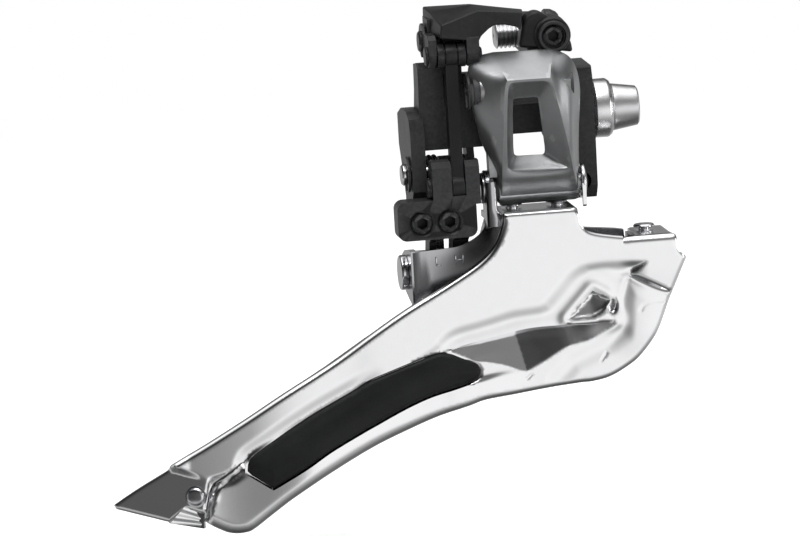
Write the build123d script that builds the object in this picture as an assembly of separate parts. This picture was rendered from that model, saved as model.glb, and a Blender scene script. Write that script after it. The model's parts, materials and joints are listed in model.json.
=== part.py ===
from build123d import *
import math
import os

os.makedirs("parts", exist_ok=True)

# Double front derailleur for a hanger tab (braze-on) mount.
# Frame: +X forward on the bicycle, +Y inboard towards the seat tube, +Z up.
# Origin: axis of the M5 fixing bolt where it meets the base's mounting face.
# All lengths in millimetres.

# ---- linkage: two parallelograms whose pivots all run along X; pivots are (y, z) at rest
LINK_LENGTH = 19.5               # pivot-to-pivot length of both links
LINK_LEAN = math.radians(14.0)   # rest lean of the links, lower end inboard
LINK_DY = round(LINK_LENGTH * math.sin(LINK_LEAN), 2)
LINK_DZ = round(-LINK_LENGTH * math.cos(LINK_LEAN), 2)
TRAVEL = 30                      # degrees of link swing, cage moves outboard
CRANK = (-7.0, -2.0)             # (dy, dz) of the arm's crank and of the inner link's lever


def shifted(point, offsets):
    """Points given by their offsets from a point."""
    return [(point[0] + a, point[1] + b) for a, b in offsets]


OUTER_LOW = (-15.04, -11.39)     # outer link to cage
INNER_LOW = (-6.04, -27.29)      # inner link to cage
OUTER_TOP, = shifted(OUTER_LOW, [(-LINK_DY, -LINK_DZ)])    # outer link to base
INNER_TOP, = shifted(INNER_LOW, [(-LINK_DY, -LINK_DZ)])    # inner link to base
ARM_PIVOT = (-10.76, 16.4)       # cable arm to base
ARM_END, = shifted(ARM_PIVOT, [CRANK])      # cable arm to connecting link
LEVER_END, = shifted(INNER_TOP, [CRANK])    # inner link lever to connecting link

# ---- fits, all radii
PIN_R = 2.0                      # main pivot pins
BUSH_R = 2.6                     # outside of the bushings
BUSH_BORE_R = 2.04               # running fit on the main pins
SMALL_PIN_R = 1.25               # small pivot pins
SMALL_BORE_R = 1.29              # running fit on the small pins
M4_R, M4_HOLE_R = 1.95, 2.0
M5_R, M5_HOLE_R = 2.45, 2.5

# ---- screw places
MOUNT = (0, 0)                   # (y, z) of the fixing bolt
SUPPORT = (-3.2, -12.6)          # (x, z) of the support screw
CLAMP = (0.2, 15.0)              # (y, z) of the cable clamp bolt
TENSION = (-8.4, 16.5)           # (x, z) of the cable tension screw
LIMIT_Z = -16.5                  # height of both limit screws
# name: (x, y of the inboard end)
LIMIT_SCREWS = {"low": (-35.3, -9.1), "high": (-30.1, -8.75)}

# ---- clip grooves in the pins, x of the rear edge
OUTER_GROOVE = -25.75
INNER_GROOVE = -36.6
ARM_GROOVE = -32.3


# ---- helpers: slabs and rods are named after the axis they run along
def slab_x(points, x0, x1):
    """Outline of (y, z) points."""
    face = make_face(Polyline(*[(x0, y, z) for y, z in points], close=True))
    return extrude(face, amount=x1 - x0, dir=(1, 0, 0))


def slab_y(points, y0, y1):
    """Outline of (x, z) points."""
    face = make_face(Polyline(*[(x, y0, z) for x, z in points], close=True))
    return extrude(face, amount=y1 - y0, dir=(0, 1, 0))


def slab_z(points, z0, z1):
    """Outline of (x, y) points."""
    face = make_face(Polyline(*[(x, y, z0) for x, y in points], close=True))
    return extrude(face, amount=z1 - z0, dir=(0, 0, 1))


def rod_x(at, radius, x0, x1):
    """Cylinder centred on (y, z)."""
    return Pos((x0 + x1) / 2, at[0], at[1]) * Rot(0, 90, 0) * Cylinder(radius, x1 - x0)


def rod_y(at, radius, y0, y1):
    """Cylinder centred on (x, z)."""
    return Pos(at[0], (y0 + y1) / 2, at[1]) * Rot(90, 0, 0) * Cylinder(radius, y1 - y0)


def rod_z(at, radius, z0, z1):
    """Cylinder centred on (x, y)."""
    return Pos(at[0], at[1], (z0 + z1) / 2) * Cylinder(radius, z1 - z0)


def block(x0, x1, y0, y1, z0, z1):
    centre = Pos((x0 + x1) / 2, (y0 + y1) / 2, (z0 + z1) / 2)
    return centre * Box(x1 - x0, y1 - y0, z1 - z0)


def hexagon(plane, inner_radius, length):
    return extrude(plane * RegularPolygon(inner_radius, 6, major_radius=False), amount=length)


def circles(shape):
    return shape.edges().filter_by(GeomType.CIRCLE)


def ease(shape, edges, size, cut=chamfer):
    """Chamfer or fillet the edges."""
    # guards against a cut that fails or gives a bad solid: the edges then stay sharp
    try:
        out = cut(edges, size)
        if out.is_valid:
            return out
    except Exception:
        pass
    return shape


def largest(shape):
    return max(shape.solids(), key=lambda s: s.volume)


def save(shape, name):
    parts = shape.solids()
    out = parts[0] if len(parts) == 1 else Compound(children=list(parts))
    export_step(out, f"parts/{name}.step")


def pin(pivot, radius, x0, x1, head=None, side=-1, groove=None):
    """Pin with an optional (radius, thickness) head at the rear (-1) or front (1) end."""
    body = rod_x(pivot, radius, x0, x1)
    body = ease(body, circles(body), 0.3)
    if head:
        head_r, thick = head
        if side < 0:
            cap = rod_x(pivot, head_r, x0 - thick, x0 + 0.01)
        else:
            cap = rod_x(pivot, head_r, x1 - 0.01, x1 + thick)
        rims = circles(cap).sort_by(Axis.X)
        rim = rims[0] if side < 0 else rims[-1]
        body = body + ease(cap, [rim], min(0.45, thick * 0.6), fillet)
    if groove is not None:
        ring = rod_x(pivot, radius + 1, groove, groove + 0.6)
        body = body - (ring - rod_x(pivot, radius - 0.45, groove - 1, groove + 2))
    return body


def clip(pivot, groove):
    """Retaining clip of 0.5 mm sheet in a main pin's groove, open towards -Z."""
    y, z = pivot
    span = (groove - 1, groove + 2)
    ring = rod_x(pivot, PIN_R + 1.4, groove + 0.05, groove + 0.55)
    ring = ring - rod_x(pivot, PIN_R - 0.43, *span)
    ring = ring - block(*span, y - 1.15, y + 1.15, z - 6, z - 0.2)
    for side in (-1, 1):
        ring = ring - rod_x((y + side * (PIN_R + 0.35), z + 1.0), 0.45, *span)
    return ring


def bush(pivot, x0, x1):
    return rod_x(pivot, BUSH_R, x0, x1) - rod_x(pivot, BUSH_BORE_R, x0 - 1, x1 + 1)


def setscrew(at, y0, y1):
    """M4 headless screw along Y, hex socket in its outboard end."""
    body = rod_y(at, M4_R, y0, y1)
    body = ease(body, circles(body), 0.35)
    socket = Plane(origin=(at[0], y0 - 0.1, at[1]), z_dir=(0, 1, 0))
    return body - hexagon(socket, 1.0, 2.6)


def rivet_z(at, z0, z1, head):
    """Rivet along Z gripping z0 to z1, heads of the given thickness."""
    shank = rod_z(at, 1.2, z0, z1)
    top = rod_z(at, 2.0, z1, z1 + head)
    bottom = rod_z(at, 2.0, z0 - head, z0)
    top = ease(top, circles(top).sort_by(Axis.Z)[-1:], 0.25)
    bottom = ease(bottom, circles(bottom).sort_by(Axis.Z)[:1], 0.25)
    return shank + top + bottom


# =====================================================================
# base bracket
# =====================================================================
PAD_REAR = -4.0                  # the mounting pad runs from this x to 0
BLOCK_REAR, BLOCK_STEP = -33.7, -19.6
ARM_LUG_X = (-28.7, -25.4)
INNER_LUG_X = (-25.2, -23.8)

rear_block = slab_x([(-12.5, -3.9), (-12.5, 8.7), (-12.0, 10.0), (-9.6, 10.0), (-7.8, 7.6),
                     (-6.0, 3.2), (3.2, 2.0), (5.5, -0.8), (5.5, -3.9)],
                    BLOCK_REAR, BLOCK_STEP)
front_block = slab_x([(-12.5, -2.0), (-12.5, 8.7), (-11.5, 9.3), (-9.6, 9.3), (-7.8, 7.5),
                      (-6.0, 3.2), (2.4, 2.0), (3.2, 0.4), (3.2, -3.4)],
                     BLOCK_STEP, PAD_REAR)
base = rear_block + front_block
# rear shoulder that closes the top of the block beside the arm
base += slab_x([(-12.5, 4.0), (-13.4, 8.4), (-13.4, 11.6), (-11.8, 12.6), (-8.2, 12.0),
                (-7.6, 7.0)], BLOCK_REAR, -28.95)
# arm lug
arm_y, arm_z = ARM_PIVOT
base += rod_x(ARM_PIVOT, 3.0, *ARM_LUG_X)
base += slab_x([(arm_y - 2.9, 8.5), (arm_y - 2.99, arm_z), (arm_y + 2.99, arm_z),
                (arm_y + 3.2, 7.0)], *ARM_LUG_X)
# outer link barrel with its web
base += rod_x(OUTER_TOP, 3.1, -19.8, -11.2)
base += slab_x(shifted(OUTER_TOP, [(0, -2.5), (0, 2.6), (2.8, 1.6), (7.6, 1.9), (8.4, -4.2),
                                   (3.2, -3.2)]), -19.3, -11.7)
# rear ear for the inner link pin, its toe is the low-gear stop
base += slab_x([(-10.5, 3.4), (-13.4, 2.2), (-14.6, -0.6), (-14.6, -11.3), (-13.0, -13.2),
                (-9.6, -13.4), (-9.0, -14.6), (-9.0, -18.6), (-5.2, -18.6), (-4.4, -13.0),
                (-2.0, -8.5), (1.0, -3.9), (1.0, 1.8), (-4.0, 3.4)], -35.9, -33.2)
# front lug for the inner link pin
base += rod_x(INNER_TOP, 3.0, *INNER_LUG_X)
base += slab_x(shifted(INNER_TOP, [(-2.95, -0.5), (-1.5, 4.8), (3.0, 4.8), (2.95, -0.5)]),
               *INNER_LUG_X)
# mounting pad, bolt boss, support-screw boss
pad = slab_x([(-6.6, 9.0), (5.6, 9.0), (7.4, 6.4), (8.0, 0), (7.2, -9.0), (4.6, -16.0),
              (-4.8, -16.0), (-7.0, -13.5), (-7.6, -4.0), (-7.6, 6.6)], PAD_REAR, 0)
base += ease(pad, pad.edges().filter_by(Axis.X), 0.8, fillet)
base += rod_x(MOUNT, 4.4, -8.8, PAD_REAR)
base += slab_x([(-6.6, -9.6), (-6.9, -13.0), (-4.8, -15.8), (4.4, -15.8), (5.2, -9.6)],
               -6.4, PAD_REAR)
# pin and screw holes
base = base - rod_x(ARM_PIVOT, PIN_R, -40, -20)
base = base - rod_x(OUTER_TOP, PIN_R, -30, -5)
base = base - rod_x(INNER_TOP, PIN_R, -40, -20)
base = base - rod_x(MOUNT, M5_HOLE_R, -9.5, 1)
base = base - rod_y(SUPPORT, M4_HOLE_R, -9, 9)
# clearance around the spring and the inner link's barrel
base = base - rod_x(INNER_TOP, 3.9, -33.15, -25.25)
# weight-saving pockets in the inboard side of the block: x0, x1, y0, z0, z1
for x0, x1, y0, z0, z1 in ((-31.5, -27.2, -3.5, -2.2, 1.4), (-25.6, -21.2, -3.5, -2.2, 1.4),
                           (-18.0, -14.6, -5.0, -0.9, 0.9)):
    base = base - block(x0, x1, y0, 7, z0, z1)
base = base - rod_y((-30.9, 6.2), 1.6, -8.4, 0)
base = base - rod_y((-22.6, 5.6), 1.6, -9.2, 0)
save(base, "base_bracket")

# ---- M5 fixing bolt: tapered head, 5 mm hex socket
bolt = rod_x(MOUNT, M5_R, -8.6, 4.3)
head = Pos(6.75, 0, 0) * Rot(0, 90, 0) * Cone(4.46, 3.65, 5.1)
head = ease(head, circles(head), 0.3)
bolt = bolt + head - hexagon(Plane.YZ.offset(6.3), 2.5, 4)
bolt = ease(bolt, circles(bolt).sort_by(Axis.X)[:1], 0.5)
save(bolt, "mount_bolt")

# ---- seating washer, hollowed on its rear face
washer = rod_x(MOUNT, 5.55, 0.0, 4.15)
washer = ease(washer, circles(washer), 0.55)
washer = washer - rod_x(MOUNT, 2.65, -1, 6)
washer = washer - rod_x(MOUNT, 4.4, -0.35, 0.35)
save(washer, "mount_washer")

# ---- main pins with their clips
save(pin(OUTER_TOP, PIN_R, -26.55, -5.3, head=(2.7, 0.9), side=1, groove=OUTER_GROOVE),
     "outer_link_pin")
save(pin(INNER_TOP, PIN_R, -37.5, -23.2, groove=INNER_GROOVE), "inner_link_pin")
save(pin(ARM_PIVOT, PIN_R, -32.9, -22.3, head=(2.6, 0.6), side=1, groove=ARM_GROOVE), "arm_pin")
save(clip(OUTER_TOP, OUTER_GROOVE) + clip(INNER_TOP, INNER_GROOVE)
     + clip(ARM_PIVOT, ARM_GROOVE), "pin_clips")

# ---- return spring, coiled round the inner link pin
SPRING_R, WIRE_R = 3.05, 0.42
helix = Helix(pitch=0.94, height=1.60, radius=SPRING_R)
wire = Plane(origin=helix @ 0, z_dir=helix % 0) * Circle(WIRE_R)
coil = sweep(wire, path=helix, is_frenet=True)
save(Pos(-32.55, *INNER_TOP) * Rot(0, 90, 0) * coil, "return_spring")

# =====================================================================
# outer link: window frame between base and cage
# =====================================================================
EAR_REAR, EAR_FRONT = -20.05, -10.95     # inner faces of the upper ears
LOW_X = (-20.9, -6.2)                    # ends of the lower barrel

# the outboard skin's section, trimmed to its outline seen along Y
skin = slab_x([(-17.4, 13.2), (-18.4, 13.8), (-25.0, 9.4), (-25.0, 6.6), (-23.2, -3.0),
               (-20.4, -8.6), (-18.0, -11.0), (-15.6, -9.0), (-18.6, -8.2), (-21.3, -3.0),
               (-23.3, 6.2), (-23.5, 9.0), (-18.8, 12.3), (-17.4, 12.0)], -26, -3)
outline = slab_y([(-25.1, 10.6), (-22.3, 11.7), (-20.3, 14.8), (-8.7, 14.8), (-4.9, 10.4),
                  (-4.3, 6.8), (-5.6, -4.5), (-6.2, -9.0), (-6.2, -15), (-20.9, -15),
                  (-20.9, -7.0), (-23.1, -3.5), (-23.8, 4.2)], -30, -8)
outer_link = skin & outline
outer_link = outer_link - block(-26, -22.35, -20.6, -10, 9.4, 16)
outer_link += rod_x(OUTER_TOP, 4.1, -24.4, EAR_REAR)
outer_link += rod_x(OUTER_TOP, 4.1, EAR_FRONT, -5.8)
# cheeks that tie the ears and the lower barrel to the skin
upper_cheek = shifted(OUTER_TOP, [(-3.6, 2.0), (-5.3, -1.2), (-3.8, -8.5), (-1.6, -10.6),
                                  (2.2, -3.4)])
outer_link += slab_x(upper_cheek, -21.8, EAR_REAR) + slab_x(upper_cheek, EAR_FRONT, -9.4)
lower_cheek = [(-22.9, 3.4), (-16.8, 4.4), (-17.4, -4.0), (-15.6, -8.3), (-12.6, -9.7),
               (-17.6, -13.0), (-20.6, -8.6), (-22.6, -3.0)]
outer_link += slab_x(lower_cheek, LOW_X[0], -19.3) + slab_x(lower_cheek, -7.8, LOW_X[1])
outer_link += rod_x(OUTER_LOW, 3.1, *LOW_X)
# room for the base's barrel, then the window
outer_link = outer_link - rod_x(OUTER_TOP, 3.35, EAR_REAR, EAR_FRONT)
outer_link = outer_link - slab_y([(-17.2, 7.9), (-11.1, 7.9), (-9.2, -5.2), (-12.0, -6.6),
                                  (-17.4, -6.9), (-18.9, -5.2)], -30, -18.4)
for pivot in (OUTER_TOP, OUTER_LOW):
    outer_link = outer_link - rod_x(pivot, BUSH_R, -30, -3)
save(outer_link, "outer_link")
save(bush(OUTER_TOP, -24.5, -20.0) + bush(OUTER_TOP, -11.0, -5.7)
     + bush(OUTER_LOW, -21.0, -16.0) + bush(OUTER_LOW, -11.1, -6.1), "outer_link_bushings")

# =====================================================================
# inner link: lever, limit-screw boss and barrels
# =====================================================================
LEVER_SLOT_X = (-29.35, -26.75)
SCREW_FACE = -20.2               # outboard face of the lever and of the boss

inner_link = rod_x(INNER_TOP, 3.1, -30.4, -25.4)
# lever block, thinner at its front end
lever = slab_x([(SCREW_FACE, -6.4), (-19.2, -5.3), (-15.6, -5.3), (-15.2, -6.0),
                (-15.2, -13.5), (SCREW_FACE, -13.5)], -33.0, -25.6)
lever += slab_x([(SCREW_FACE, -6.4), (-19.2, -5.3), (-17.0, -5.3), (-16.6, -6.0),
                 (-16.6, -13.5), (SCREW_FACE, -13.5)], -25.7, -24.1)
inner_link += lever
# web from the lever to the upper barrel
inner_link += slab_x([(-15.4, -7.2), (-11.0, -5.6), (-8.0, -9.2), (-9.4, -14.0),
                      (-15.4, -19.2)], -30.4, -25.4)
# boss for the limit screws
boss = slab_x([(SCREW_FACE, -12.3), (SCREW_FACE, -19.6), (-15.2, -19.6), (-15.2, -12.3)],
              -39.9, -25.0)
inner_link += ease(boss, boss.edges().filter_by(Axis.Y), 1.6, fillet)
# two webs down to the lower barrel
web = [(-15.6, -19.4), (-15.6, -13.5), (-9.0, -13.6), (-3.9, -25.5), (-8.9, -28.0),
       (-10.7, -21.4)]
inner_link += slab_x(web, -32.9, -31.7) + slab_x(web, -28.5, -25.5)
inner_link += rod_x(INNER_LOW, 3.1, -35.3, -25.5)
# slot of the connecting link and its swing
inner_link = inner_link - rod_x(LEVER_END, 2.8, *LEVER_SLOT_X)
inner_link = inner_link - slab_x([(-22, LEVER_END[1]), (-14.96, LEVER_END[1]), (-14.96, -4),
                                  (-22, -4)], *LEVER_SLOT_X)
# room for the high-gear stop tab of the cage over the whole travel
low_y, low_z = INNER_LOW
tab_room = slab_x([(-2.35, -30.8), (-0.5, -30.8), (-0.5, -14.4), (-2.35, -14.4)],
                  -31.65, -28.55)
for angle in range(0, TRAVEL + 1, 3):
    swing = Pos(0, low_y, low_z) * Rot(angle, 0, 0) * Pos(0, -low_y, -low_z)
    inner_link = inner_link - swing * tab_room
inner_link = inner_link - rod_x(INNER_TOP, BUSH_R, -31, -24)
inner_link = inner_link - rod_x(INNER_LOW, BUSH_R, -36, -25)
inner_link = inner_link - rod_x(LEVER_END, SMALL_PIN_R, -34, -23)
# countersunk holes of the limit screws
for x, _ in LIMIT_SCREWS.values():
    inner_link = inner_link - rod_y((x, LIMIT_Z), M4_HOLE_R, -21, -4)
    sink = Pos(x, SCREW_FACE + 0.25, LIMIT_Z) * Rot(90, 0, 0) * Cone(M4_HOLE_R, 2.5, 0.5)
    inner_link = inner_link - sink
save(largest(inner_link), "inner_link")
save(bush(INNER_TOP, -30.45, -28.3) + bush(INNER_TOP, -27.5, -25.35)
     + bush(INNER_LOW, -35.4, -31.7) + bush(INNER_LOW, -28.5, -25.45), "inner_link_bushings")
save(pin(LEVER_END, SMALL_PIN_R, -33.02, -24.0, head=(1.9, 0.8)), "lever_pin")
for name, (x, inboard_end) in LIMIT_SCREWS.items():
    save(setscrew((x, LIMIT_Z), SCREW_FACE + 0.1, inboard_end), f"{name}_limit_screw")

# =====================================================================
# cage: sheet dimensions and outlines, (x, z) points
# =====================================================================
Y_OUT = -21.0                    # outboard face of the outer plate
SHEET_OUT = 1.3                  # thickness of the outer plate
Y_IN = -9.3                      # chain-side face of the inner plate
SHEET_IN = 1.2                   # thickness of the inner plate
Y_IN_BACK = Y_IN + SHEET_IN      # inboard face of the inner plate
PLAN_FRONT = 15                  # x in front of both plates
NECK_RIVETS = [(-17.5, -13.4), (-9.0, -13.4)]    # (x, y)
NOSE_RIVET = (7.5, -11.5)                        # (x, y)
RIVET_HOLE_R = 1.2
BRIDGE_TOP, FLANGE_TOP, FLANGE_BOTTOM = -15.1, -16.32, -17.5    # joint at the neck, z
NOSE_TOP, NOSE_BOTTOM = -21.3, -23.55                           # joint at the nose, z

OUTER_OUTLINE = [
    # upper edge, tail to neck
    (-96.4, -64.4), (-90.3, -61.2), (-84.3, -58.1), (-78.3, -55.1), (-70.8, -50.7),
    (-63.4, -46.4), (-53.4, -40.9), (-45.9, -36.2), (-39.4, -32.3), (-30.9, -27.8),
    (-25.0, -24.3), (-22.0, -21.3), (-20.6, -17.9), (-20.2, -15.4),
    # neck
    (-20.0, -14.6), (-6.3, -14.9),
    # nose, then the lower edge back to the tail
    (-6.0, -16.7), (-5.9, -18.2), (-5.3, -19.4), (-2.2, -20.6), (2.1, -21.6), (3.7, -21.1),
    (5.2, -20.1), (8.3, -20.7), (12.0, -21.2), (12.3, -21.9), (12.0, -23.9), (12.6, -25.5),
    (13.8, -26.2), (12.2, -29.8), (10.9, -33.0), (9.7, -35.9), (8.3, -39.0), (5.6, -42.5),
    (2.9, -45.5), (0.6, -47.0), (-1.9, -48.0), (-6.3, -48.4), (-12.0, -48.7), (-17.5, -49.3),
    (-23.1, -50.0), (-28.6, -51.2), (-34.2, -52.6), (-39.7, -54.5), (-47.1, -57.4),
    (-54.5, -60.6), (-59.6, -63.4), (-64.5, -66.5), (-67.3, -68.7), (-69.6, -70.5),
    (-71.2, -71.4), (-72.6, -71.7), (-74.7, -71.4), (-76.3, -70.7), (-78.0, -70.0),
    (-79.6, -69.3),
    # tail end
    (-85.1, -69.2), (-95.6, -66.2)]
RAISED_FIELD = [
    (-63.4, -47.0), (-53.4, -41.5), (-45.9, -36.8), (-39.4, -32.9), (-30.9, -28.5),
    (-24.6, -24.8), (-21.6, -21.6), (-20.0, -17.9), (-19.6, -15.2), (-6.8, -15.5),
    (-6.5, -18.4), (-5.7, -19.9), (-2.2, -21.2), (2.1, -22.2), (4.6, -21.3), (5.5, -26.4),
    (-5.6, -26.9), (-7.6, -28.7), (-11.1, -32.8), (-13.6, -34.1), (-20.7, -35.2),
    (-30.8, -36.9), (-33.4, -39.5), (-44.0, -42.6), (-54.5, -46.8), (-60.5, -49.0)]
SKID_OUTLINE = [
    (-71.4, -59.8), (-66.3, -63.5), (-59.3, -59.7), (-51.8, -55.7), (-44.4, -51.7),
    (-39.4, -49.7), (-33.9, -48.3), (-30.7, -47.1), (-26.4, -45.7), (-26.1, -44.8),
    (-26.8, -43.5), (-31.9, -40.9), (-34.1, -40.5), (-43.9, -44.0), (-53.8, -48.1),
    (-63.7, -52.6), (-69.3, -57.0), (-71.1, -58.8)]
SKID_PEGS = [(-66.0, -58.3), (-49.0, -49.9), (-33.5, -44.6)]
INNER_OUTLINE = [
    (-87.6, -63.9), (-84.3, -61.3), (-78.3, -58.0), (-70.8, -53.6), (-63.4, -49.1),
    (-53.4, -43.4), (-45.9, -38.8), (-39.0, -34.9), (-24.0, -33.0), (-21.4, -27.0),
    (-21.2, -17.2), (-19.0, FLANGE_TOP), (-9.0, FLANGE_TOP), (-8.4, -19.6), (-6.6, -20.6),
    (-3.9, -20.9), (2.4, -21.6), (4.0, -21.9), (4.1, -23.4), (10.8, -23.4), (12.4, -27.0),
    (11.4, -31.0), (9.0, -37.0), (5.6, -42.5), (2.0, -46.0), (-1.9, -47.8), (-12.0, -48.7),
    (-23.1, -50.0), (-34.2, -52.6), (-47.1, -57.4), (-59.6, -63.4), (-67.3, -68.7),
    (-72.0, -71.0), (-78.0, -70.6), (-79.6, -70.5), (-85.1, -69.5), (-87.6, -67.8)]

# the outer plate's tail is a facet bent inboard, seen in plan (x, y)
TAIL_START = (-78.5, Y_OUT)
TAIL_DIR = (-0.9215, 0.3885)
TAIL_NORMAL = (TAIL_DIR[1], -TAIL_DIR[0])    # inboard
TAIL_ANGLE = math.degrees(math.atan2(TAIL_DIR[1], -TAIL_DIR[0]))
TAIL_RIVET = (-80.9, -64.2)                  # (x, z) on the outboard face
TAIL_RIVET_R = 1.3


def tail_point(along, inboard):
    return tuple(TAIL_START[i] + TAIL_DIR[i] * along + TAIL_NORMAL[i] * inboard for i in (0, 1))


def tail_rod(radius, start, end):
    """Cylinder on the tail rivet's axis, square to the facet."""
    along = (TAIL_START[0] - TAIL_RIVET[0]) / -TAIL_DIR[0]
    x, y = tail_point(along, (start + end) / 2)
    return (Pos(x, y, TAIL_RIVET[1]) * Rot(0, 0, -TAIL_ANGLE) * Rot(90, 0, 0)
            * Cylinder(radius, end - start))


# ---- outer plate
sheet = slab_z([(PLAN_FRONT, Y_OUT), TAIL_START, tail_point(21, 0), tail_point(21, SHEET_OUT),
                tail_point(0.25, SHEET_OUT), (PLAN_FRONT, Y_OUT + SHEET_OUT)], -80, -10)
plate = slab_y(OUTER_OUTLINE, -30, -5) & sheet
raised = slab_y(RAISED_FIELD, Y_OUT - 0.6, Y_OUT + 0.2)
plate += ease(raised, raised.faces().sort_by(Axis.Y)[0].edges(), 0.35)
# recess in front of the skid plate, and a small window above it
plate = plate - slab_y([(-31.0, -40.4), (-23.9, -38.6), (-14.5, -37.4), (-5.1, -37.7),
                        (-0.4, -37.9), (-9.7, -41.4), (-17.5, -45.3), (-22.5, -43.3)],
                       Y_OUT - 1, Y_OUT + 0.5)
plate = plate - slab_y([(-9.2, -36.3), (-4.2, -31.4), (-1.1, -33.2), (-3.1, -35.3)], -24, -18)
plate = plate - rod_y((-1.0, -34.9), 0.9, -24, -18)
# pocket of the skid plate and its peg holes
plate = plate - offset(slab_y(SKID_OUTLINE, Y_OUT - 1, Y_OUT + 0.45), 0.06,
                       kind=Kind.INTERSECTION)
for peg in SKID_PEGS:
    plate = plate - rod_y(peg, 1.05, -24, -18)
# neck: folded bridge below the lower outer pin, with the front ear
pin_y, pin_z = OUTER_LOW
plate += block(-20.2, -4.6, Y_OUT, -10.5, -16.3, BRIDGE_TOP)
plate += (rod_x(OUTER_LOW, 3.3, -5.9, -4.6)
          + slab_x([(pin_y - 3.29, pin_z), (pin_y - 3.4, -16.3), (pin_y + 3.4, -16.3),
                    (pin_y + 3.29, pin_z)], -5.9, -4.6))
# nose bridge to the inner plate
plate += block(4.4, 10.6, Y_OUT + 0.2, -8.2, -22.4, NOSE_TOP)
plate += slab_y([(3.7, -21.0), (11.5, -21.2), (11.5, -23.4), (3.7, -23.4)],
                Y_OUT, Y_OUT + SHEET_OUT)
for at in NECK_RIVETS:
    plate = plate - rod_z(at, RIVET_HOLE_R, -18, -14)
plate = plate - rod_z(NOSE_RIVET, RIVET_HOLE_R, -25, -20)
plate = plate - rod_x(OUTER_LOW, PIN_R, -8, -3)
plate = plate - tail_rod(TAIL_RIVET_R, -3, 6)
save(largest(plate), "cage_outer_plate")

# ---- skid plate: a strip let into the outboard face of the outer plate, three pegs
skid = slab_y(SKID_OUTLINE, Y_OUT - 0.75, Y_OUT + 0.4)
skid = ease(skid, skid.faces().sort_by(Axis.Y)[0].edges(), 0.3)
for peg in SKID_PEGS:
    skid += rod_y(peg, 1.0, Y_OUT, Y_OUT + SHEET_OUT + 0.05)
save(skid, "skid_plate")

# ---- inner plate, its tail bent outboard to lie on the facet
sheet = slab_z([(PLAN_FRONT, Y_IN), (-86.0, Y_IN), (-85.7, -15.35), tail_point(1.5, 2.45),
                tail_point(1.5, SHEET_OUT + 0.02), tail_point(9.6, SHEET_OUT + 0.02),
                (-87.2, -15.8), (-87.2, Y_IN_BACK), (PLAN_FRONT, Y_IN_BACK)], -80, -10)
plate = slab_y(INNER_OUTLINE, -30, 0) & sheet
# stiffening shelf, pressed inboard
plate += slab_y([(-70.0, -55.6), (-54.0, -46.4), (-40.0, -38.6), (-24.0, -36.6),
                 (-8.0, -37.4), (6.0, -36.2), (5.0, -38.6), (-8.0, -40.0), (-24.0, -39.4),
                 (-39.0, -41.4), (-53.0, -49.2), (-68.6, -58.0)],
                Y_IN + 0.9, Y_IN_BACK + 0.9)
# flange below the neck bridge
plate += block(-22.5, -9.0, -18.3, Y_IN_BACK, FLANGE_BOTTOM, FLANGE_TOP)
# bracket face, then the jog back to the plate
BRACKET_REAR = -36.8
plate += slab_y([(BRACKET_REAR, -22.6), (-25.0, -22.6), (-23.6, -20.8), (-22.5, -17.5),
                 (-21.2, -17.5), (-21.2, -27.5), (-24.0, -33.0), (BRACKET_REAR, -33.0)],
                -12.5, -11.3)
plate += slab_x([(-12.5, -31.5), (-12.5, -33.2), (-9.3, -37.0), (-8.1, -37.0), (-8.1, -35.2),
                 (-11.3, -31.6)], BRACKET_REAR, -23.4)
# rear ear of the lower outer pin
plate += (rod_x(OUTER_LOW, 3.3, -22.5, -21.2)
          + slab_x([(-18.2, -12.0), (-17.6, -17.5), (-11.3, -20.0), (-11.3, -11.0)],
                   -22.5, -21.2))
# two ears of the lower inner pin, joined along their inboard edge
ear = [(-12.5, -23.2), (-12.0, -22.6), (-8.0, -22.8), (-4.0, -23.4), (-0.84, -24.6),
       (-0.84, -30.4), (-4.0, -31.4), (-8.4, -32.4), (-12.5, -33.2)]
plate += slab_x(ear, BRACKET_REAR, -35.55) + slab_x(ear, -25.3, -24.1)
plate += block(BRACKET_REAR, -24.1, -2.04, -0.84, -30.4, -24.6)
# high-gear stop tab
plate += block(-31.3, -28.9, -2.04, -0.84, -25.0, -14.8)
# stamped letters L and H, 0.2 deep: x0, x1, z0, z1 of each stroke
for x0, x1, z0, z1 in ((-32.25, -31.85, -25.6, -23.9), (-32.25, -31.0, -25.6, -25.2),
                       (-28.65, -28.25, -25.6, -23.8), (-27.4, -27.0, -25.6, -23.8),
                       (-28.65, -27.0, -24.9, -24.5)):
    plate = plate - block(x0, x1, -12.6, -12.3, z0, z1)
for at in NECK_RIVETS:
    plate = plate - rod_z(at, RIVET_HOLE_R, -19, -15)
# nose flange
plate += block(4.4, 10.6, -13.8, Y_IN_BACK, NOSE_BOTTOM, -22.43)
plate = plate - rod_z(NOSE_RIVET, RIVET_HOLE_R, -25, -20)
plate = plate - rod_x(OUTER_LOW, PIN_R, -24, -20) - rod_x(INNER_LOW, PIN_R, -38, -23)
plate = plate - tail_rod(TAIL_RIVET_R, -3, 6)
save(largest(plate), "cage_inner_plate")

# ---- rivets and lower pins
save(rivet_z(NECK_RIVETS[0], FLANGE_BOTTOM, BRIDGE_TOP, 0.35)
     + rivet_z(NECK_RIVETS[1], FLANGE_BOTTOM, BRIDGE_TOP, 0.35), "neck_rivets")
save(rivet_z(NOSE_RIVET, NOSE_BOTTOM, NOSE_TOP, 0.5), "nose_rivet")
save(tail_rod(TAIL_RIVET_R, -0.2, 2.6) + tail_rod(2.0, -0.6, 0) + tail_rod(2.0, 2.45, 3.05),
     "tail_rivet")
save(pin(OUTER_LOW, PIN_R, -22.6, -4.5, head=(2.35, 0.9))
     + rod_x(OUTER_LOW, 2.35, -4.51, -3.6), "lower_outer_pin")
save(pin(INNER_LOW, PIN_R, -36.9, -23.4, head=(3.3, 1.3)), "lower_inner_pin")

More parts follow.
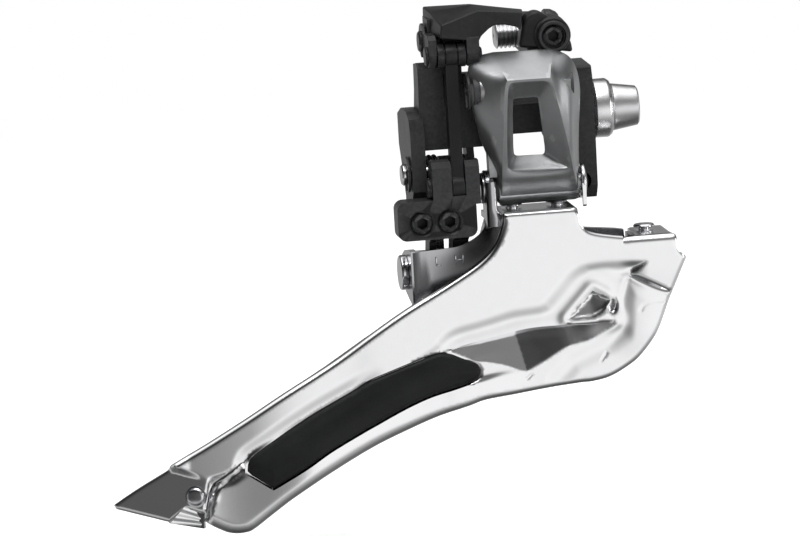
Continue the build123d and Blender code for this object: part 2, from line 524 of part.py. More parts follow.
# =====================================================================
# cable arm
# =====================================================================
REAR_HUB_X = (-31.5, -28.9)
FRONT_HUB_X = (-25.2, -22.7)
LUG_GAP_X = (REAR_HUB_X[1], FRONT_HUB_X[0])     # room for the base's arm lug
LINK_GAP_X = (-30.7, -25.2)                     # room for the connecting link

# outline seen along Y, and the sections of its rear and front parts
outline = slab_y([(-32.3, 15.8), (-32.3, 22.0), (-30.6, 22.8), (-22.0, 22.3), (-12.0, 20.6),
                  (-7.9, 19.4), (-5.2, 16.6), (-4.4, 13.6), (-4.6, 12.6), (-12.4, 12.6),
                  (-12.4, 16.0), (-13.6, 18.2), (-16.5, 18.9), (-21.2, 18.5), (-22.6, 17.0),
                  (-22.7, 15.8)], -30, 12)
rear_part = slab_x([(-20.1, 15.8), (-20.4, 18.6), (-18.6, 21.8), (-12.0, 22.9), (-6.2, 21.6),
                    (-5.2, 19.8), (-14.2, 19.8), (-14.2, 15.8)], -34, -12.5)
front_part = slab_x([(-15.0, 13.7), (-18.2, 14.05), (-18.4, 18.2), (-17.6, 20.0),
                     (-12.0, 21.4), (-6.0, 20.8), (4.6, 18.4), (6.0, 17.0), (6.0, 11.8),
                     (-2.0, 11.6), (-6.0, 12.6), (-8.2, 13.2)], -12.5, -4.3)
arm = (outline & rear_part) + (outline & front_part)
# the block for the cable clamp is narrower inboard
arm = arm - block(-9.3, -4, -7.5, 8, 8, 24)
arm += slab_x([(-8.0, 11.8), (-8.0, 20.9), (-6.0, 20.6), (4.6, 18.4), (6.0, 17.0),
               (6.0, 11.8)], -12.6, -9.3)
# top bar over the arch
arm += slab_x([(-19.2, 18.6), (-18.4, 21.6), (-12.0, 22.2), (-7.0, 21.0), (-7.0, 19.5),
               (-13.0, 19.15)], -22.7, -12.4) & outline
# hubs on the arm pin
arm += rod_x(ARM_PIVOT, 3.1, *REAR_HUB_X) + rod_x(ARM_PIVOT, 3.1, *FRONT_HUB_X)
hub_web = [(-14.6, 15.8), (-13.6, 14.6), (arm_y, 13.4), (-7.7, 15.6), (-7.0, 21.0),
           (-14.6, 21.0)]
for hub_x in (REAR_HUB_X, FRONT_HUB_X):
    arm += slab_x(hub_web, *hub_x)
# hangers on the link pin
end_y, end_z = ARM_END
hanger = [(end_y - 2.3, end_z), (-20.2, 18.0), (-14.4, 18.0), (end_y + 2.3, end_z)]
for x0, x1 in ((-32.3, -30.75), (-25.15, -22.7)):
    arm += rod_x(ARM_END, 2.3, x0, x1) + slab_x(hanger, x0, x1)
# gaps for the lug and the connecting link
arm = arm - rod_x(ARM_PIVOT, 3.2, *LUG_GAP_X) - block(*LUG_GAP_X, -14.2, -7, 5, arm_z)
arm = arm - rod_x(ARM_END, 2.55, *LINK_GAP_X)
arm = arm - slab_x([(end_y - 2.55, end_z), (end_y - 2.55, 12), (end_y + 2.55, 12),
                    (end_y + 2.55, end_z)], *LINK_GAP_X)
# pin, screw and cable holes
arm = arm - rod_x(ARM_PIVOT, BUSH_R, -32, -28.8) - rod_x(ARM_PIVOT, BUSH_R, -25.3, -22)
arm = arm - rod_x(ARM_END, SMALL_PIN_R, -33, -22)
arm = arm - rod_x(CLAMP, M5_HOLE_R, -14, -8)
arm = arm - rod_y(TENSION, M4_HOLE_R, -20, -7)
arm = arm - rod_y(TENSION, 2.3, -18.75, -17.85)
arm = arm - rod_z((-11.0, 4.4), 0.7, 10, 20)
arm = arm - block(-9.7, -9.2, 2.6, 4.0, 10, 20)
save(largest(arm), "cable_arm")
save(bush(ARM_PIVOT, -31.55, -28.85) + bush(ARM_PIVOT, -25.25, -22.65), "arm_bushings")
save(pin(ARM_END, SMALL_PIN_R, -32.33, -22.1, head=(1.8, 0.5)), "arm_link_pin")

# ---- cable clamp bolt: tapered hex head with a 4 mm hex socket
shank = rod_x(CLAMP, M5_R, -17.0, -7.4)
shank = ease(shank, circles(shank).sort_by(Axis.X)[:1], 0.5)
head = hexagon(Plane(origin=(-7.5, *CLAMP), z_dir=(1, 0, 0)), 3.5, 2.9)
head = head & (Pos(-6.05, *CLAMP) * Rot(0, 90, 0) * Cone(4.4, 3.5, 3.2))
socket = hexagon(Plane(origin=(-5.9, *CLAMP), z_dir=(1, 0, 0)), 2.0, 3)
save(shank + head - socket, "cable_clamp_bolt")

# ---- cable clamp plate
clamp = slab_x(shifted(CLAMP, [(-3.6, -3.4), (-4.2, 0), (-3.6, 3.2), (4.4, 3.0), (5.2, 1.6),
                               (5.2, -1.6), (4.4, -3.2)]), -9.25, -7.5)
clamp = ease(clamp, clamp.edges().filter_by(Axis.X), 0.8, fillet)
save(clamp - rod_x(CLAMP, 2.55, -10, -7), "cable_clamp_plate")
save(setscrew(TENSION, -17.9, -9.0), "cable_tension_screw")

# ---- connecting link, two grooves round its upper barrel
link = rod_x(ARM_END, 2.3, -30.6, -25.3)
for x in (-29.35, -27.0):
    link = link - (rod_x(ARM_END, 3, x, x + 0.3) - rod_x(ARM_END, 2.0, x - 1, x + 1))
link += rod_x(LEVER_END, 2.55, -29.2, -26.9)
link += slab_x([(-19.3, end_z), (-19.3, LEVER_END[1]), (-16.2, LEVER_END[1]),
                (-16.2, end_z)], -29.2, -26.9)
link = link - rod_x(ARM_END, SMALL_BORE_R, -31, -25) - rod_x(LEVER_END, SMALL_BORE_R, -30, -26)
save(link, "connecting_link")

# ---- support screw that braces the base; its dog point presses on the frame's backing plate
screw = rod_y(SUPPORT, M4_R, -5.9, 7.0)
screw = ease(screw, circles(screw), 0.3)
dog = rod_y(SUPPORT, 1.4, 6.9, 9.2)
screw = screw + ease(dog, circles(dog).sort_by(Axis.Y)[-1:], 0.3)
socket = Plane(origin=(SUPPORT[0], -6.0, SUPPORT[1]), z_dir=(0, 1, 0))
save(screw - hexagon(socket, 1.0, 2.4), "support_screw")
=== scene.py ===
# Bicycle front derailleur: a chrome cage hung on a short linkage, with a cable arm above it.
# The outer plate of the cage faces -Y, its nose lies towards +X and its tail towards -X,
# +Z is up. "Outboard" and "front" mean -Y, "inboard" and "back" mean +Y.
# Lengths are in mm unless a comment says otherwise; new_object turns them into metres.
import bpy
import bmesh
import json
import math
import numpy as np
from mathutils import Vector, Matrix
from mathutils.geometry import delaunay_2d_cdt

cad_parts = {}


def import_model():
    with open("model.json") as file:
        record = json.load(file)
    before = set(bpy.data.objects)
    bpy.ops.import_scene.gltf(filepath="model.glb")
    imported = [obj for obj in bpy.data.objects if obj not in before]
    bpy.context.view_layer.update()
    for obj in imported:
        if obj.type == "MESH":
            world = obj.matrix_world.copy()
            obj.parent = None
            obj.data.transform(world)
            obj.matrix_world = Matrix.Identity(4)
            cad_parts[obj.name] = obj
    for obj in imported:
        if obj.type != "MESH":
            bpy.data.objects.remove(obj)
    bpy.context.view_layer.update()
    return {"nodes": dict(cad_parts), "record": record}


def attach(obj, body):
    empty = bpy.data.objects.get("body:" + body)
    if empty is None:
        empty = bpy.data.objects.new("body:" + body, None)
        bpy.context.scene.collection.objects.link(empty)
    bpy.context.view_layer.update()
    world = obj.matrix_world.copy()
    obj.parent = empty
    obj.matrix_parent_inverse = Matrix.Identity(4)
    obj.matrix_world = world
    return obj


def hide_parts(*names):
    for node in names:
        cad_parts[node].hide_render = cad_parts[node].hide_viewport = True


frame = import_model()
MM = 0.001
MESH_STEP = 0.42     # point spacing on the cage's pressed sheets

# linkage pivots (y, z); their axes run along X
LINK_LOWER = (-15.04, -11.39)
LINK_UPPER = (LINK_LOWER[0] - 4.72, LINK_LOWER[1] + 18.92)
HUB_BACK = (-10.76, 16.4)
HUB_FRONT = (HUB_BACK[0] - 7.0, HUB_BACK[1] - 2.0)


# ----------------------------------------------------------------------
# shader helpers
# ----------------------------------------------------------------------
def feed(tree, node, inputs):
    """Sets each named input, or links it if the value is a socket."""
    for key, value in inputs.items():
        if isinstance(value, bpy.types.NodeSocket):
            tree.links.new(value, node.inputs[key])
        else:
            node.inputs[key].default_value = value


def add_node(tree, kind, inputs=None, **settings):
    node = tree.nodes.new("ShaderNode" + kind)
    for key, value in settings.items():
        setattr(node, key, value)
    feed(tree, node, inputs or {})
    return node


def new_material(name):
    material = bpy.data.materials.new(name)
    material.use_nodes = True
    tree = material.node_tree
    return material, tree, tree.nodes["Principled BSDF"]


def ramp(tree, factor, stops):
    """Colour ramp; stops are (position, colour), first and last in place."""
    node = add_node(tree, "ValToRGB", {"Fac": factor})
    elements = node.color_ramp.elements
    for element, (position, colour) in zip(elements, (stops[0], stops[-1])):
        element.position = position
        element.color = (*colour, 1)
    for position, colour in stops[1:-1]:
        elements.new(position).color = (*colour, 1)
    return node.outputs["Color"]


def noise(tree, coords, scale, detail, roughness=0.55, stretch=None):
    if stretch:
        mapping = add_node(tree, "Mapping", {"Scale": stretch, "Vector": coords})
        coords = mapping.outputs["Vector"]
    node = add_node(tree, "TexNoise", {"Scale": scale, "Detail": detail,
                                       "Roughness": roughness, "Vector": coords})
    return node.outputs["Fac"]


def math_node(tree, operation, *values, clamp=False):
    node = add_node(tree, "Math", dict(enumerate(values)), operation=operation, use_clamp=clamp)
    return node.outputs[0]


def map_range(tree, value, low, high, **settings):
    """Takes low..high to 0..1."""
    node = add_node(tree, "MapRange", {"From Min": low, "From Max": high, "Value": value},
                    **settings)
    return node.outputs["Result"]


# ----------------------------------------------------------------------
# materials
# ----------------------------------------------------------------------
COAT_ROUGHNESS = 0.12
BUMP_DISTANCE = 0.00006                      # metres
WORN_EDGE = [(0.515, (0, 0, 0)), (0.56, (1, 1, 1))]   # pointiness at which wear starts, is full


def surface(name, base, metallic, roughness, variation, bumps, tint, grain,
            coat=0.0, specular=0.5, wear=None):
    """Principled material in object coordinates, broken up by noise.

    variation: swing of the roughness; tint: swing of the base colour;
    grain: scale of the fine noise, the broad one is nine times coarser;
    bumps: (noise scale, strength, stretch) layers; wear: (colour, amount) on exposed edges.
    """
    material, tree, shader = new_material(name)
    coords = add_node(tree, "TexCoord").outputs["Object"]
    fine = noise(tree, coords, grain, detail=5)
    broad = noise(tree, coords, grain / 9, detail=3)
    half = variation / 2
    rough = math_node(tree, "MULTIPLY_ADD", fine, variation, roughness - half)
    rough = math_node(tree, "MULTIPLY_ADD", broad, variation,
                      math_node(tree, "SUBTRACT", rough, half), clamp=True)
    dark = tuple(c * (1 - tint) for c in base)
    light = tuple(min(1, c * (1 + tint)) for c in base)
    colour = ramp(tree, broad, [(0.3, dark), (0.7, light)])
    if wear:
        worn_colour, amount = wear
        geometry = add_node(tree, "NewGeometry")
        edges = ramp(tree, geometry.outputs["Pointiness"], WORN_EDGE)
        mask = math_node(tree, "MULTIPLY", edges, math_node(tree, "MULTIPLY", fine, amount),
                         clamp=True)
        mix = add_node(tree, "Mix", {"Factor": mask, "A": colour, "B": (*worn_colour, 1)},
                       data_type="RGBA")
        colour = mix.outputs["Result"]
    feed(tree, shader, {"Roughness": rough, "Base Color": colour, "Metallic": metallic,
                        "Specular IOR Level": specular, "Coat Weight": coat,
                        "Coat Roughness": COAT_ROUGHNESS})
    normal = {}
    for scale, strength, stretch in bumps:
        height = noise(tree, coords, scale, detail=4, roughness=0.6, stretch=stretch)
        bump = add_node(tree, "Bump", {"Strength": strength, "Distance": BUMP_DISTANCE,
                                       "Height": height, **normal})
        normal = {"Normal": bump.outputs["Normal"]}
    feed(tree, shader, normal)
    return material


BRUSHED = (14, 1, 1)                         # noise squeezed along X
CHROME_BUMPS = ((160, 0.06, None), (2600, 0.04, (1, 1, 0.15)))
LOOKS = {
    "plate_chrome": dict(base=(0.88, 0.88, 0.89), metallic=1.0, roughness=0.17, variation=0.05,
                         bumps=CHROME_BUMPS, tint=0.02, grain=700),
    "gunmetal": dict(base=(0.30, 0.305, 0.31), metallic=0.92, roughness=0.34, variation=0.08,
                     bumps=((4200, 0.30, None), (900, 0.10, None)), coat=0.2, tint=0.06,
                     grain=2600, wear=((0.6, 0.6, 0.6), 0.5)),
    "black_alloy": dict(base=(0.0065, 0.0065, 0.0070), metallic=0.0, roughness=0.34,
                        variation=0.10, bumps=((2800, 0.25, None), (500, 0.10, None)),
                        tint=0.15, specular=0.2, wear=((0.05, 0.05, 0.052), 0.7), grain=1500),
    "black_steel": dict(base=(0.012, 0.012, 0.013), metallic=0.2, roughness=0.30,
                        variation=0.12, bumps=((2200, 0.22, None),), tint=0.12, specular=0.25,
                        wear=((0.10, 0.10, 0.10), 0.7), grain=1800),
    "black_resin": dict(base=(0.0075, 0.008, 0.008), metallic=0.0, roughness=0.44,
                        variation=0.10, bumps=((3600, 0.35, None), (300, 0.10, None)),
                        tint=0.2, specular=0.18, grain=1200),
    "bolt_steel": dict(base=(0.70, 0.70, 0.71), metallic=1.0, roughness=0.30, variation=0.08,
                       bumps=((900, 0.22, BRUSHED), (3000, 0.08, None)), tint=0.05, grain=1400),
    "washer_alloy": dict(base=(0.80, 0.80, 0.81), metallic=1.0, roughness=0.27, variation=0.08,
                         bumps=((900, 0.16, BRUSHED), (3000, 0.06, None)), tint=0.04,
                         grain=1400),
    "pin_steel": dict(base=(0.72, 0.72, 0.74), metallic=1.0, roughness=0.16, variation=0.06,
                      bumps=((1400, 0.08, None),), tint=0.04, grain=1600),
    "bushing_resin": dict(base=(0.03, 0.03, 0.032), metallic=0.0, roughness=0.5, variation=0.1,
                          bumps=((3000, 0.3, None),), tint=0.15, grain=1500),
    "spring_steel": dict(base=(0.32, 0.32, 0.33), metallic=1.0, roughness=0.30, variation=0.1,
                         bumps=((2600, 0.2, (1, 4, 4)),), tint=0.1, grain=1800),
}
MATERIALS = {name: surface(name, **look) for name, look in LOOKS.items()}
# a darker copy of the plate chrome for the inner parts of the cage: painted shade standing in
# for the shade and dark reflections they lie in
SHADED_CHROME = surface("painted_shade_chrome", base=(0.50, 0.50, 0.515), metallic=1.0, roughness=0.20,
                       variation=0.06, bumps=CHROME_BUMPS, tint=0.03, grain=700)


# ----------------------------------------------------------------------
# objects
# ----------------------------------------------------------------------
def smooth_faces(mesh):
    for polygon in mesh.polygons:
        polygon.use_smooth = True


def new_object(name, shape, material, sharp_deg=None):
    """Smooth-shaded object from a (vertices, faces) pair in mm."""
    verts, faces = shape
    mesh = bpy.data.meshes.new(name)
    mesh.from_pydata([tuple(float(c) * MM for c in v) for v in verts], [],
                     [tuple(f) for f in faces])
    mesh.validate()
    mesh.update()
    ob = bpy.data.objects.new(name, mesh)
    bpy.context.scene.collection.objects.link(ob)
    bm = bmesh.new()
    bm.from_mesh(mesh)
    bmesh.ops.recalc_face_normals(bm, faces=bm.faces)
    bm.to_mesh(mesh)
    bm.free()
    smooth_faces(mesh)
    mesh.materials.append(material)
    if sharp_deg is not None:
        mesh.set_sharp_from_angle(angle=math.radians(sharp_deg))
    return ob


def bevel(ob, width, segments=3, angle=32, weighted=True):
    rounding = ob.modifiers.new("bevel", "BEVEL")
    rounding.width = width * MM
    rounding.segments = segments
    rounding.limit_method = "ANGLE"
    rounding.angle_limit = math.radians(angle)
    rounding.miter_outer = "MITER_ARC"
    rounding.use_clamp_overlap = True
    if weighted:
        normals = ob.modifiers.new("normals", "WEIGHTED_NORMAL")
        normals.keep_sharp = True
        normals.weight = 60


replaced = set()                             # CAD pieces that get a new mesh


def register(ob, rides, replaces=None):
    if replaces:
        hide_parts(replaces)
        replaced.add(replaces)
    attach(ob, rides)


# ----------------------------------------------------------------------
# solids, each a (vertices, faces) pair
# ----------------------------------------------------------------------
def join(parts):
    verts, faces = [], []
    for part_verts, part_faces in parts:
        first = len(verts)
        verts += part_verts
        faces += [tuple(i + first for i in face) for face in part_faces]
    return verts, faces


def band_faces(count, loops):
    """Side faces between successive closed loops of count points."""
    return [(k * count + i, k * count + (i + 1) % count,
             (k + 1) * count + (i + 1) % count, (k + 1) * count + i)
            for k in range(loops - 1) for i in range(count)]


def loft(*loops):
    """Solid through matching loops, closed at both ends."""
    count = len(loops[0])
    total = count * len(loops)
    caps = [tuple(range(count)), tuple(range(total - 1, total - count - 1, -1))]
    return [p for loop in loops for p in loop], caps + band_faces(count, len(loops))


def prism_x(points, x0, x1):
    """Prism along X over (y, z) points."""
    return loft(*[[(x, y, z) for y, z in points] for x in (x0, x1)])


def prism_y(points, y0, y1):
    """Prism along Y over (x, z) points."""
    return loft(*[[(x, y, z) for x, z in points] for y in (y0, y1)])


def lathe_x(profile, centre=(0.0, 0.0), segments=96, closed=True):
    """Turned shape about an axis along X through (y, z) = centre; profile is (x, radius).
    An open profile is capped at both ends."""
    size = len(profile)
    verts, faces = [], []
    for i in range(segments):
        angle = 2 * math.pi * i / segments
        verts += [(x, centre[0] + r * math.cos(angle), centre[1] + r * math.sin(angle))
                  for x, r in profile]
        j = (i + 1) % segments
        for k in range(size if closed else size - 1):
            after = (k + 1) % size
            faces.append((i * size + k, i * size + after, j * size + after, j * size + k))
    if not closed:
        faces.append(tuple(i * size for i in range(segments)))
        faces.append(tuple(i * size + size - 1 for i in reversed(range(segments))))
    return verts, faces


def lathe_y(profile, centre, segments=64):
    """The same about an axis along Y through (x, z) = centre; profile is (y, radius)."""
    verts, faces = lathe_x(profile, centre, segments)
    return [(x, y, z) for y, x, z in verts], faces


def tube_x(centre, radius, x0, x1, rounding=0.25, hole=0.0):
    """Rod along X with rounded ends, or a ring if it has a hole."""
    soft = rounding * 0.3
    profile = [(x0, radius - rounding), (x0 + soft, radius - soft), (x0 + rounding, radius),
               (x1 - rounding, radius), (x1 - soft, radius - soft), (x1, radius - rounding)]
    if hole:
        lip = 0.12
        profile += [(x1, hole + lip), (x1 - lip, hole), (x0 + lip, hole), (x0, hole + lip)]
    return lathe_x(profile, centre, segments=48, closed=bool(hole))


def grid_slab(front, back_y, columns, rows):
    """Closes a (columns + 1) x (rows + 1) grid of points into a slab with a flat back."""
    size = rows + 1
    total = len(front)
    verts = front + [(x, back_y, z) for x, y, z in front]
    faces = []
    for i in range(columns):
        for j in range(rows):
            face = (i * size + j, i * size + j + 1, (i + 1) * size + j + 1, (i + 1) * size + j)
            faces += [face, tuple(total + k for k in face[::-1])]
    for i in range(columns):
        for j in (0, rows):
            a, b = i * size + j, (i + 1) * size + j
            faces.append((a, b, total + b, total + a))
    for j in range(rows):
        for i in (0, columns):
            a = i * size + j
            faces.append((a, a + 1, total + a + 1, total + a))
    return verts, faces


# ----------------------------------------------------------------------
# plane curves and distances; points are (x, z) arrays
# ----------------------------------------------------------------------
def linear(value, zero_at, one_at):
    return np.clip((value - zero_at) / (one_at - zero_at), 0, 1)


def blend(value, zero_at, one_at):
    """Smooth change from 0 to 1 as value goes from zero_at to one_at."""
    t = linear(value, zero_at, one_at)
    return t * t * (3 - 2 * t)


def seg_dist(points, line, closed=True):
    """Distance of the points to a polyline."""
    starts = np.asarray(line, float)
    ends = np.roll(starts, -1, 0) if closed else starts[1:]
    best = np.full(len(points), 1e9)
    for a, b in zip(starts, ends):
        along = b - a
        square = float(along @ along) or 1e-12
        t = np.clip(((points - a) @ along) / square, 0, 1)
        nearest = a + t[:, None] * along
        best = np.minimum(best, np.hypot(*(points - nearest).T))
    return best


def line_dist(points, line):
    return seg_dist(points, line, closed=False)


def inside(points, loop):
    starts = np.asarray(loop, float)
    result = np.zeros(len(points), bool)
    x, z = points[:, 0], points[:, 1]
    for (x0, z0), (x1, z1) in zip(starts, np.roll(starts, -1, 0)):
        if z0 == z1:
            continue
        result ^= ((z0 > z) != (z1 > z)) & (x < (x1 - x0) * (z - z0) / (z1 - z0) + x0)
    return result


def signed_dist(points, loop):
    """Distance to a closed loop, positive inside."""
    return np.where(inside(points, loop), 1, -1) * seg_dist(points, loop)


def resample(points, step, corner=38.0, closed=True):
    """Catmull-Rom through the points, kept straight at corners sharper than the angle."""
    pts = np.asarray(points, float)
    count = len(pts)

    def is_corner(i):
        if not closed and (i <= 0 or i >= count - 1):
            return True
        before = pts[i] - pts[(i - 1) % count]
        after = pts[(i + 1) % count] - pts[i]
        cosine = (before @ after) / (np.linalg.norm(before) * np.linalg.norm(after) + 1e-12)
        return math.degrees(math.acos(max(-1, min(1, cosine)))) > corner

    corners = [is_corner(i) for i in range(count)]
    out = []
    for i in range(count if closed else count - 1):
        a, b = pts[i], pts[(i + 1) % count]
        before = 2 * a - b if corners[i] else pts[(i - 1) % count]
        after = 2 * b - a if corners[(i + 1) % count] else pts[(i + 2) % count]
        pieces = max(1, int(round(np.linalg.norm(b - a) / step)))
        for j in range(pieces):
            t = j / pieces
            out.append(0.5 * ((2 * a) + (b - before) * t
                              + (2 * before - 5 * a + 4 * b - after) * t * t
                              + (3 * a - before - 3 * b + after) * t ** 3))
    if not closed:
        out.append(pts[-1])
    return np.array(out)


def open_curve(points, step=0.8, corner=60):
    return resample(points, step, corner, closed=False)


def loop_normals(loop):
    tangent = np.roll(loop, -1, 0) - np.roll(loop, 1, 0)
    tangent /= np.linalg.norm(tangent, axis=1)[:, None] + 1e-12
    return np.stack([-tangent[:, 1], tangent[:, 0]], 1)


def inset(loop, distance):
    """Closed loop moved inwards."""
    following = np.roll(loop, -1, 0)
    area = np.sum(loop[:, 0] * following[:, 1] - following[:, 0] * loop[:, 1])
    return loop + loop_normals(loop) * (distance if area > 0 else -distance)


def offset_line(line, distance):
    tangent = np.gradient(line, axis=0)
    tangent /= np.linalg.norm(tangent, axis=1)[:, None]
    return line + np.stack([-tangent[:, 1], tangent[:, 0]], 1) * distance


def closed_line(loop):
    return np.concatenate([loop, loop[:1]])


def sheet_mesh(outline, holes, lines, spacing, place, rings):
    """Triangulates the outline minus the holes, with the lines as edges, and closes it into
    a thin solid. rings are the offsets of extra points along the loops.
    place(points, side, rim) gives the 3-D points of one face, side 0 for the front and 1
    for the back; rim is the distance to the nearest loop."""
    loops = [outline] + holes

    def in_sheet(points):
        keep = inside(points, outline)
        for hole in holes:
            keep &= ~inside(points, hole)
        return keep

    def rim_dist(points):
        return np.minimum.reduce([seg_dist(points, loop) for loop in loops])

    verts, edges = [], []
    for line, closed in [(loop, True) for loop in loops] + [(line, False) for line in lines]:
        first, count = len(verts), len(line)
        verts += [tuple(p) for p in line]
        edges += [(first + i, first + (i + 1) % count)
                  for i in range(count if closed else count - 1)]
    # triangular grid over the area, clear of loops and lines
    low, high = np.min(outline, 0), np.max(outline, 0)
    row_height = spacing * math.sqrt(3) / 2
    rows = []
    for row in range(int((high[1] - low[1]) / row_height) + 2):
        xs = np.arange(low[0] + (spacing / 2 if row % 2 else 0), high[0], spacing)
        rows.append(np.stack([xs, np.full(len(xs), low[1] + row * row_height)], 1))
    grid = np.concatenate(rows)
    grid = grid[in_sheet(grid)]
    far = rim_dist(grid) > rings[-1] + spacing * 0.55
    for line in lines:
        far &= line_dist(grid, line) > spacing * 0.45
    verts += [tuple(p) for p in grid[far]]
    for loop in loops:
        normals = loop_normals(loop)
        for offset in rings:
            for sign in (1, -1):
                ring = loop + normals * offset * sign
                keep = in_sheet(ring) & (rim_dist(ring) > offset * 0.8)
                for line in lines:
                    keep &= line_dist(ring, line) > 0.1
                verts += [tuple(p) for p in ring[keep]]
    flat, _, found, *_ = delaunay_2d_cdt([Vector(p) for p in verts], edges, [], 0, 1e-4)
    flat = np.array([(v.x, v.y) for v in flat])
    tris = np.array([f for f in found if len(f) == 3])
    tris = tris[in_sheet(flat[tris].mean(1))]
    used = np.unique(tris)
    flat = flat[used]
    tris = np.searchsorted(used, tris)
    rim = rim_dist(flat)
    total = len(flat)
    faces = [tuple(t) for t in tris] + [tuple(i + total for i in t[::-1]) for t in tris]
    # an edge with no opposite partner is on the boundary
    directed = dict.fromkeys((t[i], t[(i + 1) % 3]) for t in tris for i in range(3))
    faces += [(b, a, a + total, b + total) for a, b in directed if (b, a) not in directed]
    return (np.concatenate([place(flat, 0, rim), place(flat, 1, rim)]),
            [tuple(int(i) for i in face) for face in faces])


# ----------------------------------------------------------------------
# cage outer plate: measured outlines, all (x, z)
# ----------------------------------------------------------------------
PLATE_Y = -21.0                              # nominal face of the plate
PLATE_THICKNESS = 1.25
FIELD_RISE = 0.38                            # the upper field stands this far outboard

# outline of the plate, in five runs
TOP_PTS = [
    (-96.4, -64.6), (-93.2, -62.7), (-89.9, -60.9), (-83.3, -57.5), (-78.3, -54.9),
    (-70.8, -50.7), (-63.4, -46.4), (-53.4, -40.9), (-45.9, -36.2), (-39.4, -32.3),
    (-30.9, -27.8), (-25.0, -24.3), (-22.0, -21.3), (-20.6, -18.2), (-20.2, -15.6)]
NECK_PTS = [(-20.2, -5.4), (-6.3, -5.4)]
NOSE_PTS = [
    (-6.2, -15.6), (-6.0, -16.9), (-5.8, -18.4), (-4.9, -19.8), (-3.5, -20.5), (-0.9, -21.1),
    (2.3, -21.6), (3.4, -21.3), (4.3, -20.6), (4.9, -19.4), (4.9, -9.6), (11.4, -9.6),
    (11.6, -19.6), (12.1, -22.4), (12.2, -24.2), (12.7, -25.2)]
LOWER_PTS = [
    (13.8, -26.3), (11.9, -30.3), (10.0, -34.4), (8.2, -38.7), (6.7, -41.3), (3.9, -44.5),
    (1.1, -46.4), (-1.9, -47.8), (-5.1, -48.4), (-7.8, -48.5), (-13.7, -49.0), (-19.8, -49.7),
    (-25.4, -50.3), (-28.6, -51.2), (-34.2, -52.6), (-39.7, -54.5), (-47.1, -57.4),
    (-55.5, -61.6), (-62.4, -65.6), (-66.5, -68.4), (-69.0, -70.2), (-70.2, -71.0),
    (-71.3, -71.5), (-73.0, -71.7), (-74.7, -71.5), (-76.0, -71.0), (-77.9, -70.0),
    (-79.3, -69.1)]
TAIL_PTS = [(-79.4, -67.6), (-82.6, -66.3), (-86.0, -68.6), (-95.9, -65.4)]

# raised upper field; its lower edge is the step across the plate
UPPER_PTS = [
    (-112.0, -74.0), (-81.0, -66.5), (-77.9, -62.6), (-74.6, -60.9), (-70.0, -58.6),
    (-60.0, -53.0), (-45.0, -46.0), (-34.7, -40.3), (-33.3, -39.1), (-31.8, -37.7),
    (-29.8, -36.8), (-26.3, -36.1), (-22.9, -35.3), (-19.5, -34.5), (-14.1, -34.0),
    (-12.5, -32.9), (-10.5, -30.9), (-8.2, -28.4), (-6.3, -27.1), (-5.2, -26.8), (-2.5, -26.6),
    (1.5, -26.7), (5.7, -26.8), (12.0, -26.8), (30.0, -24.0), (20.0, 10), (-30, 10),
    (-70, -30), (-112, -50)]
# V-shaped recess: its top, then the nose side down to the tip, then the tail side back up
RECESS_TOP_PTS = [(-33.4, -40.6), (-28.2, -39.5), (-21.4, -38.2), (-16.3, -37.4),
                  (-10.6, -37.3), (-4.8, -37.4), (-0.3, -37.0)]
RECESS_NOSE_PTS = [(-0.3, -37.0), (0.1, -37.9), (-2.8, -39.4), (-5.8, -40.7), (-9.0, -41.2),
                   (-11.2, -42.2), (-14.2, -43.9), (-17.5, -45.5)]
RECESS_TAIL_PTS = [(-17.5, -45.5), (-22.4, -43.7), (-25.7, -43.0), (-27.4, -42.8),
                   (-32.0, -41.2), (-33.4, -40.6)]
WINDOW_LOW_PTS = [(-0.9, -33.3), (-2.3, -35.0), (-4.4, -36.1), (-8.9, -36.2)]
WINDOW_PTS = [(-4.2, -31.3)] + WINDOW_LOW_PTS
# the two holes: a nick beside the window and a slit across the nose
NICK_PTS = [(-0.45, -33.4), (-0.1, -34.3), (-0.55, -35.3), (-1.0, -35.45), (-0.75, -34.4)]
SLIT_PTS = [(2.9, -28.85), (4.4, -29.35), (6.8, -30.55), (9.0, -31.75), (10.2, -32.5),
            (8.6, -32.0), (6.4, -30.95), (4.2, -29.75)]
BELOW_SLIT = [(2.1, -28.7), (6.9, -30.9), (10.4, -32.7), (22.0, -38.0), (20.0, -60.0),
              (-6.0, -60.0), (-6.0, -42.0), (0.4, -38.0), (0.6, -33.0)]
# skid strip: lower side, nose end, upper side
SKID_LOW = [(-66.4, -63.6), (-60.1, -60.2), (-55.3, -57.3), (-49.0, -54.2), (-45.9, -52.8),
            (-42.4, -51.2), (-39.0, -49.8), (-35.5, -48.6), (-31.7, -47.7), (-29.0, -47.0),
            (-27.1, -46.4)]
SKID_END = [(-26.2, -45.6), (-26.0, -44.6), (-26.5, -43.6), (-27.6, -42.9), (-30.1, -41.8),
            (-31.4, -41.2)]
SKID_TOP = [(-33.6, -40.9), (-35.1, -41.2), (-38.5, -42.2), (-43.7, -43.9), (-47.1, -45.1),
            (-50.6, -46.8), (-57.6, -50.2), (-63.2, -53.3), (-65.9, -54.9), (-69.4, -56.9),
            (-70.5, -57.8), (-71.0, -58.7), (-71.2, -60.3)]
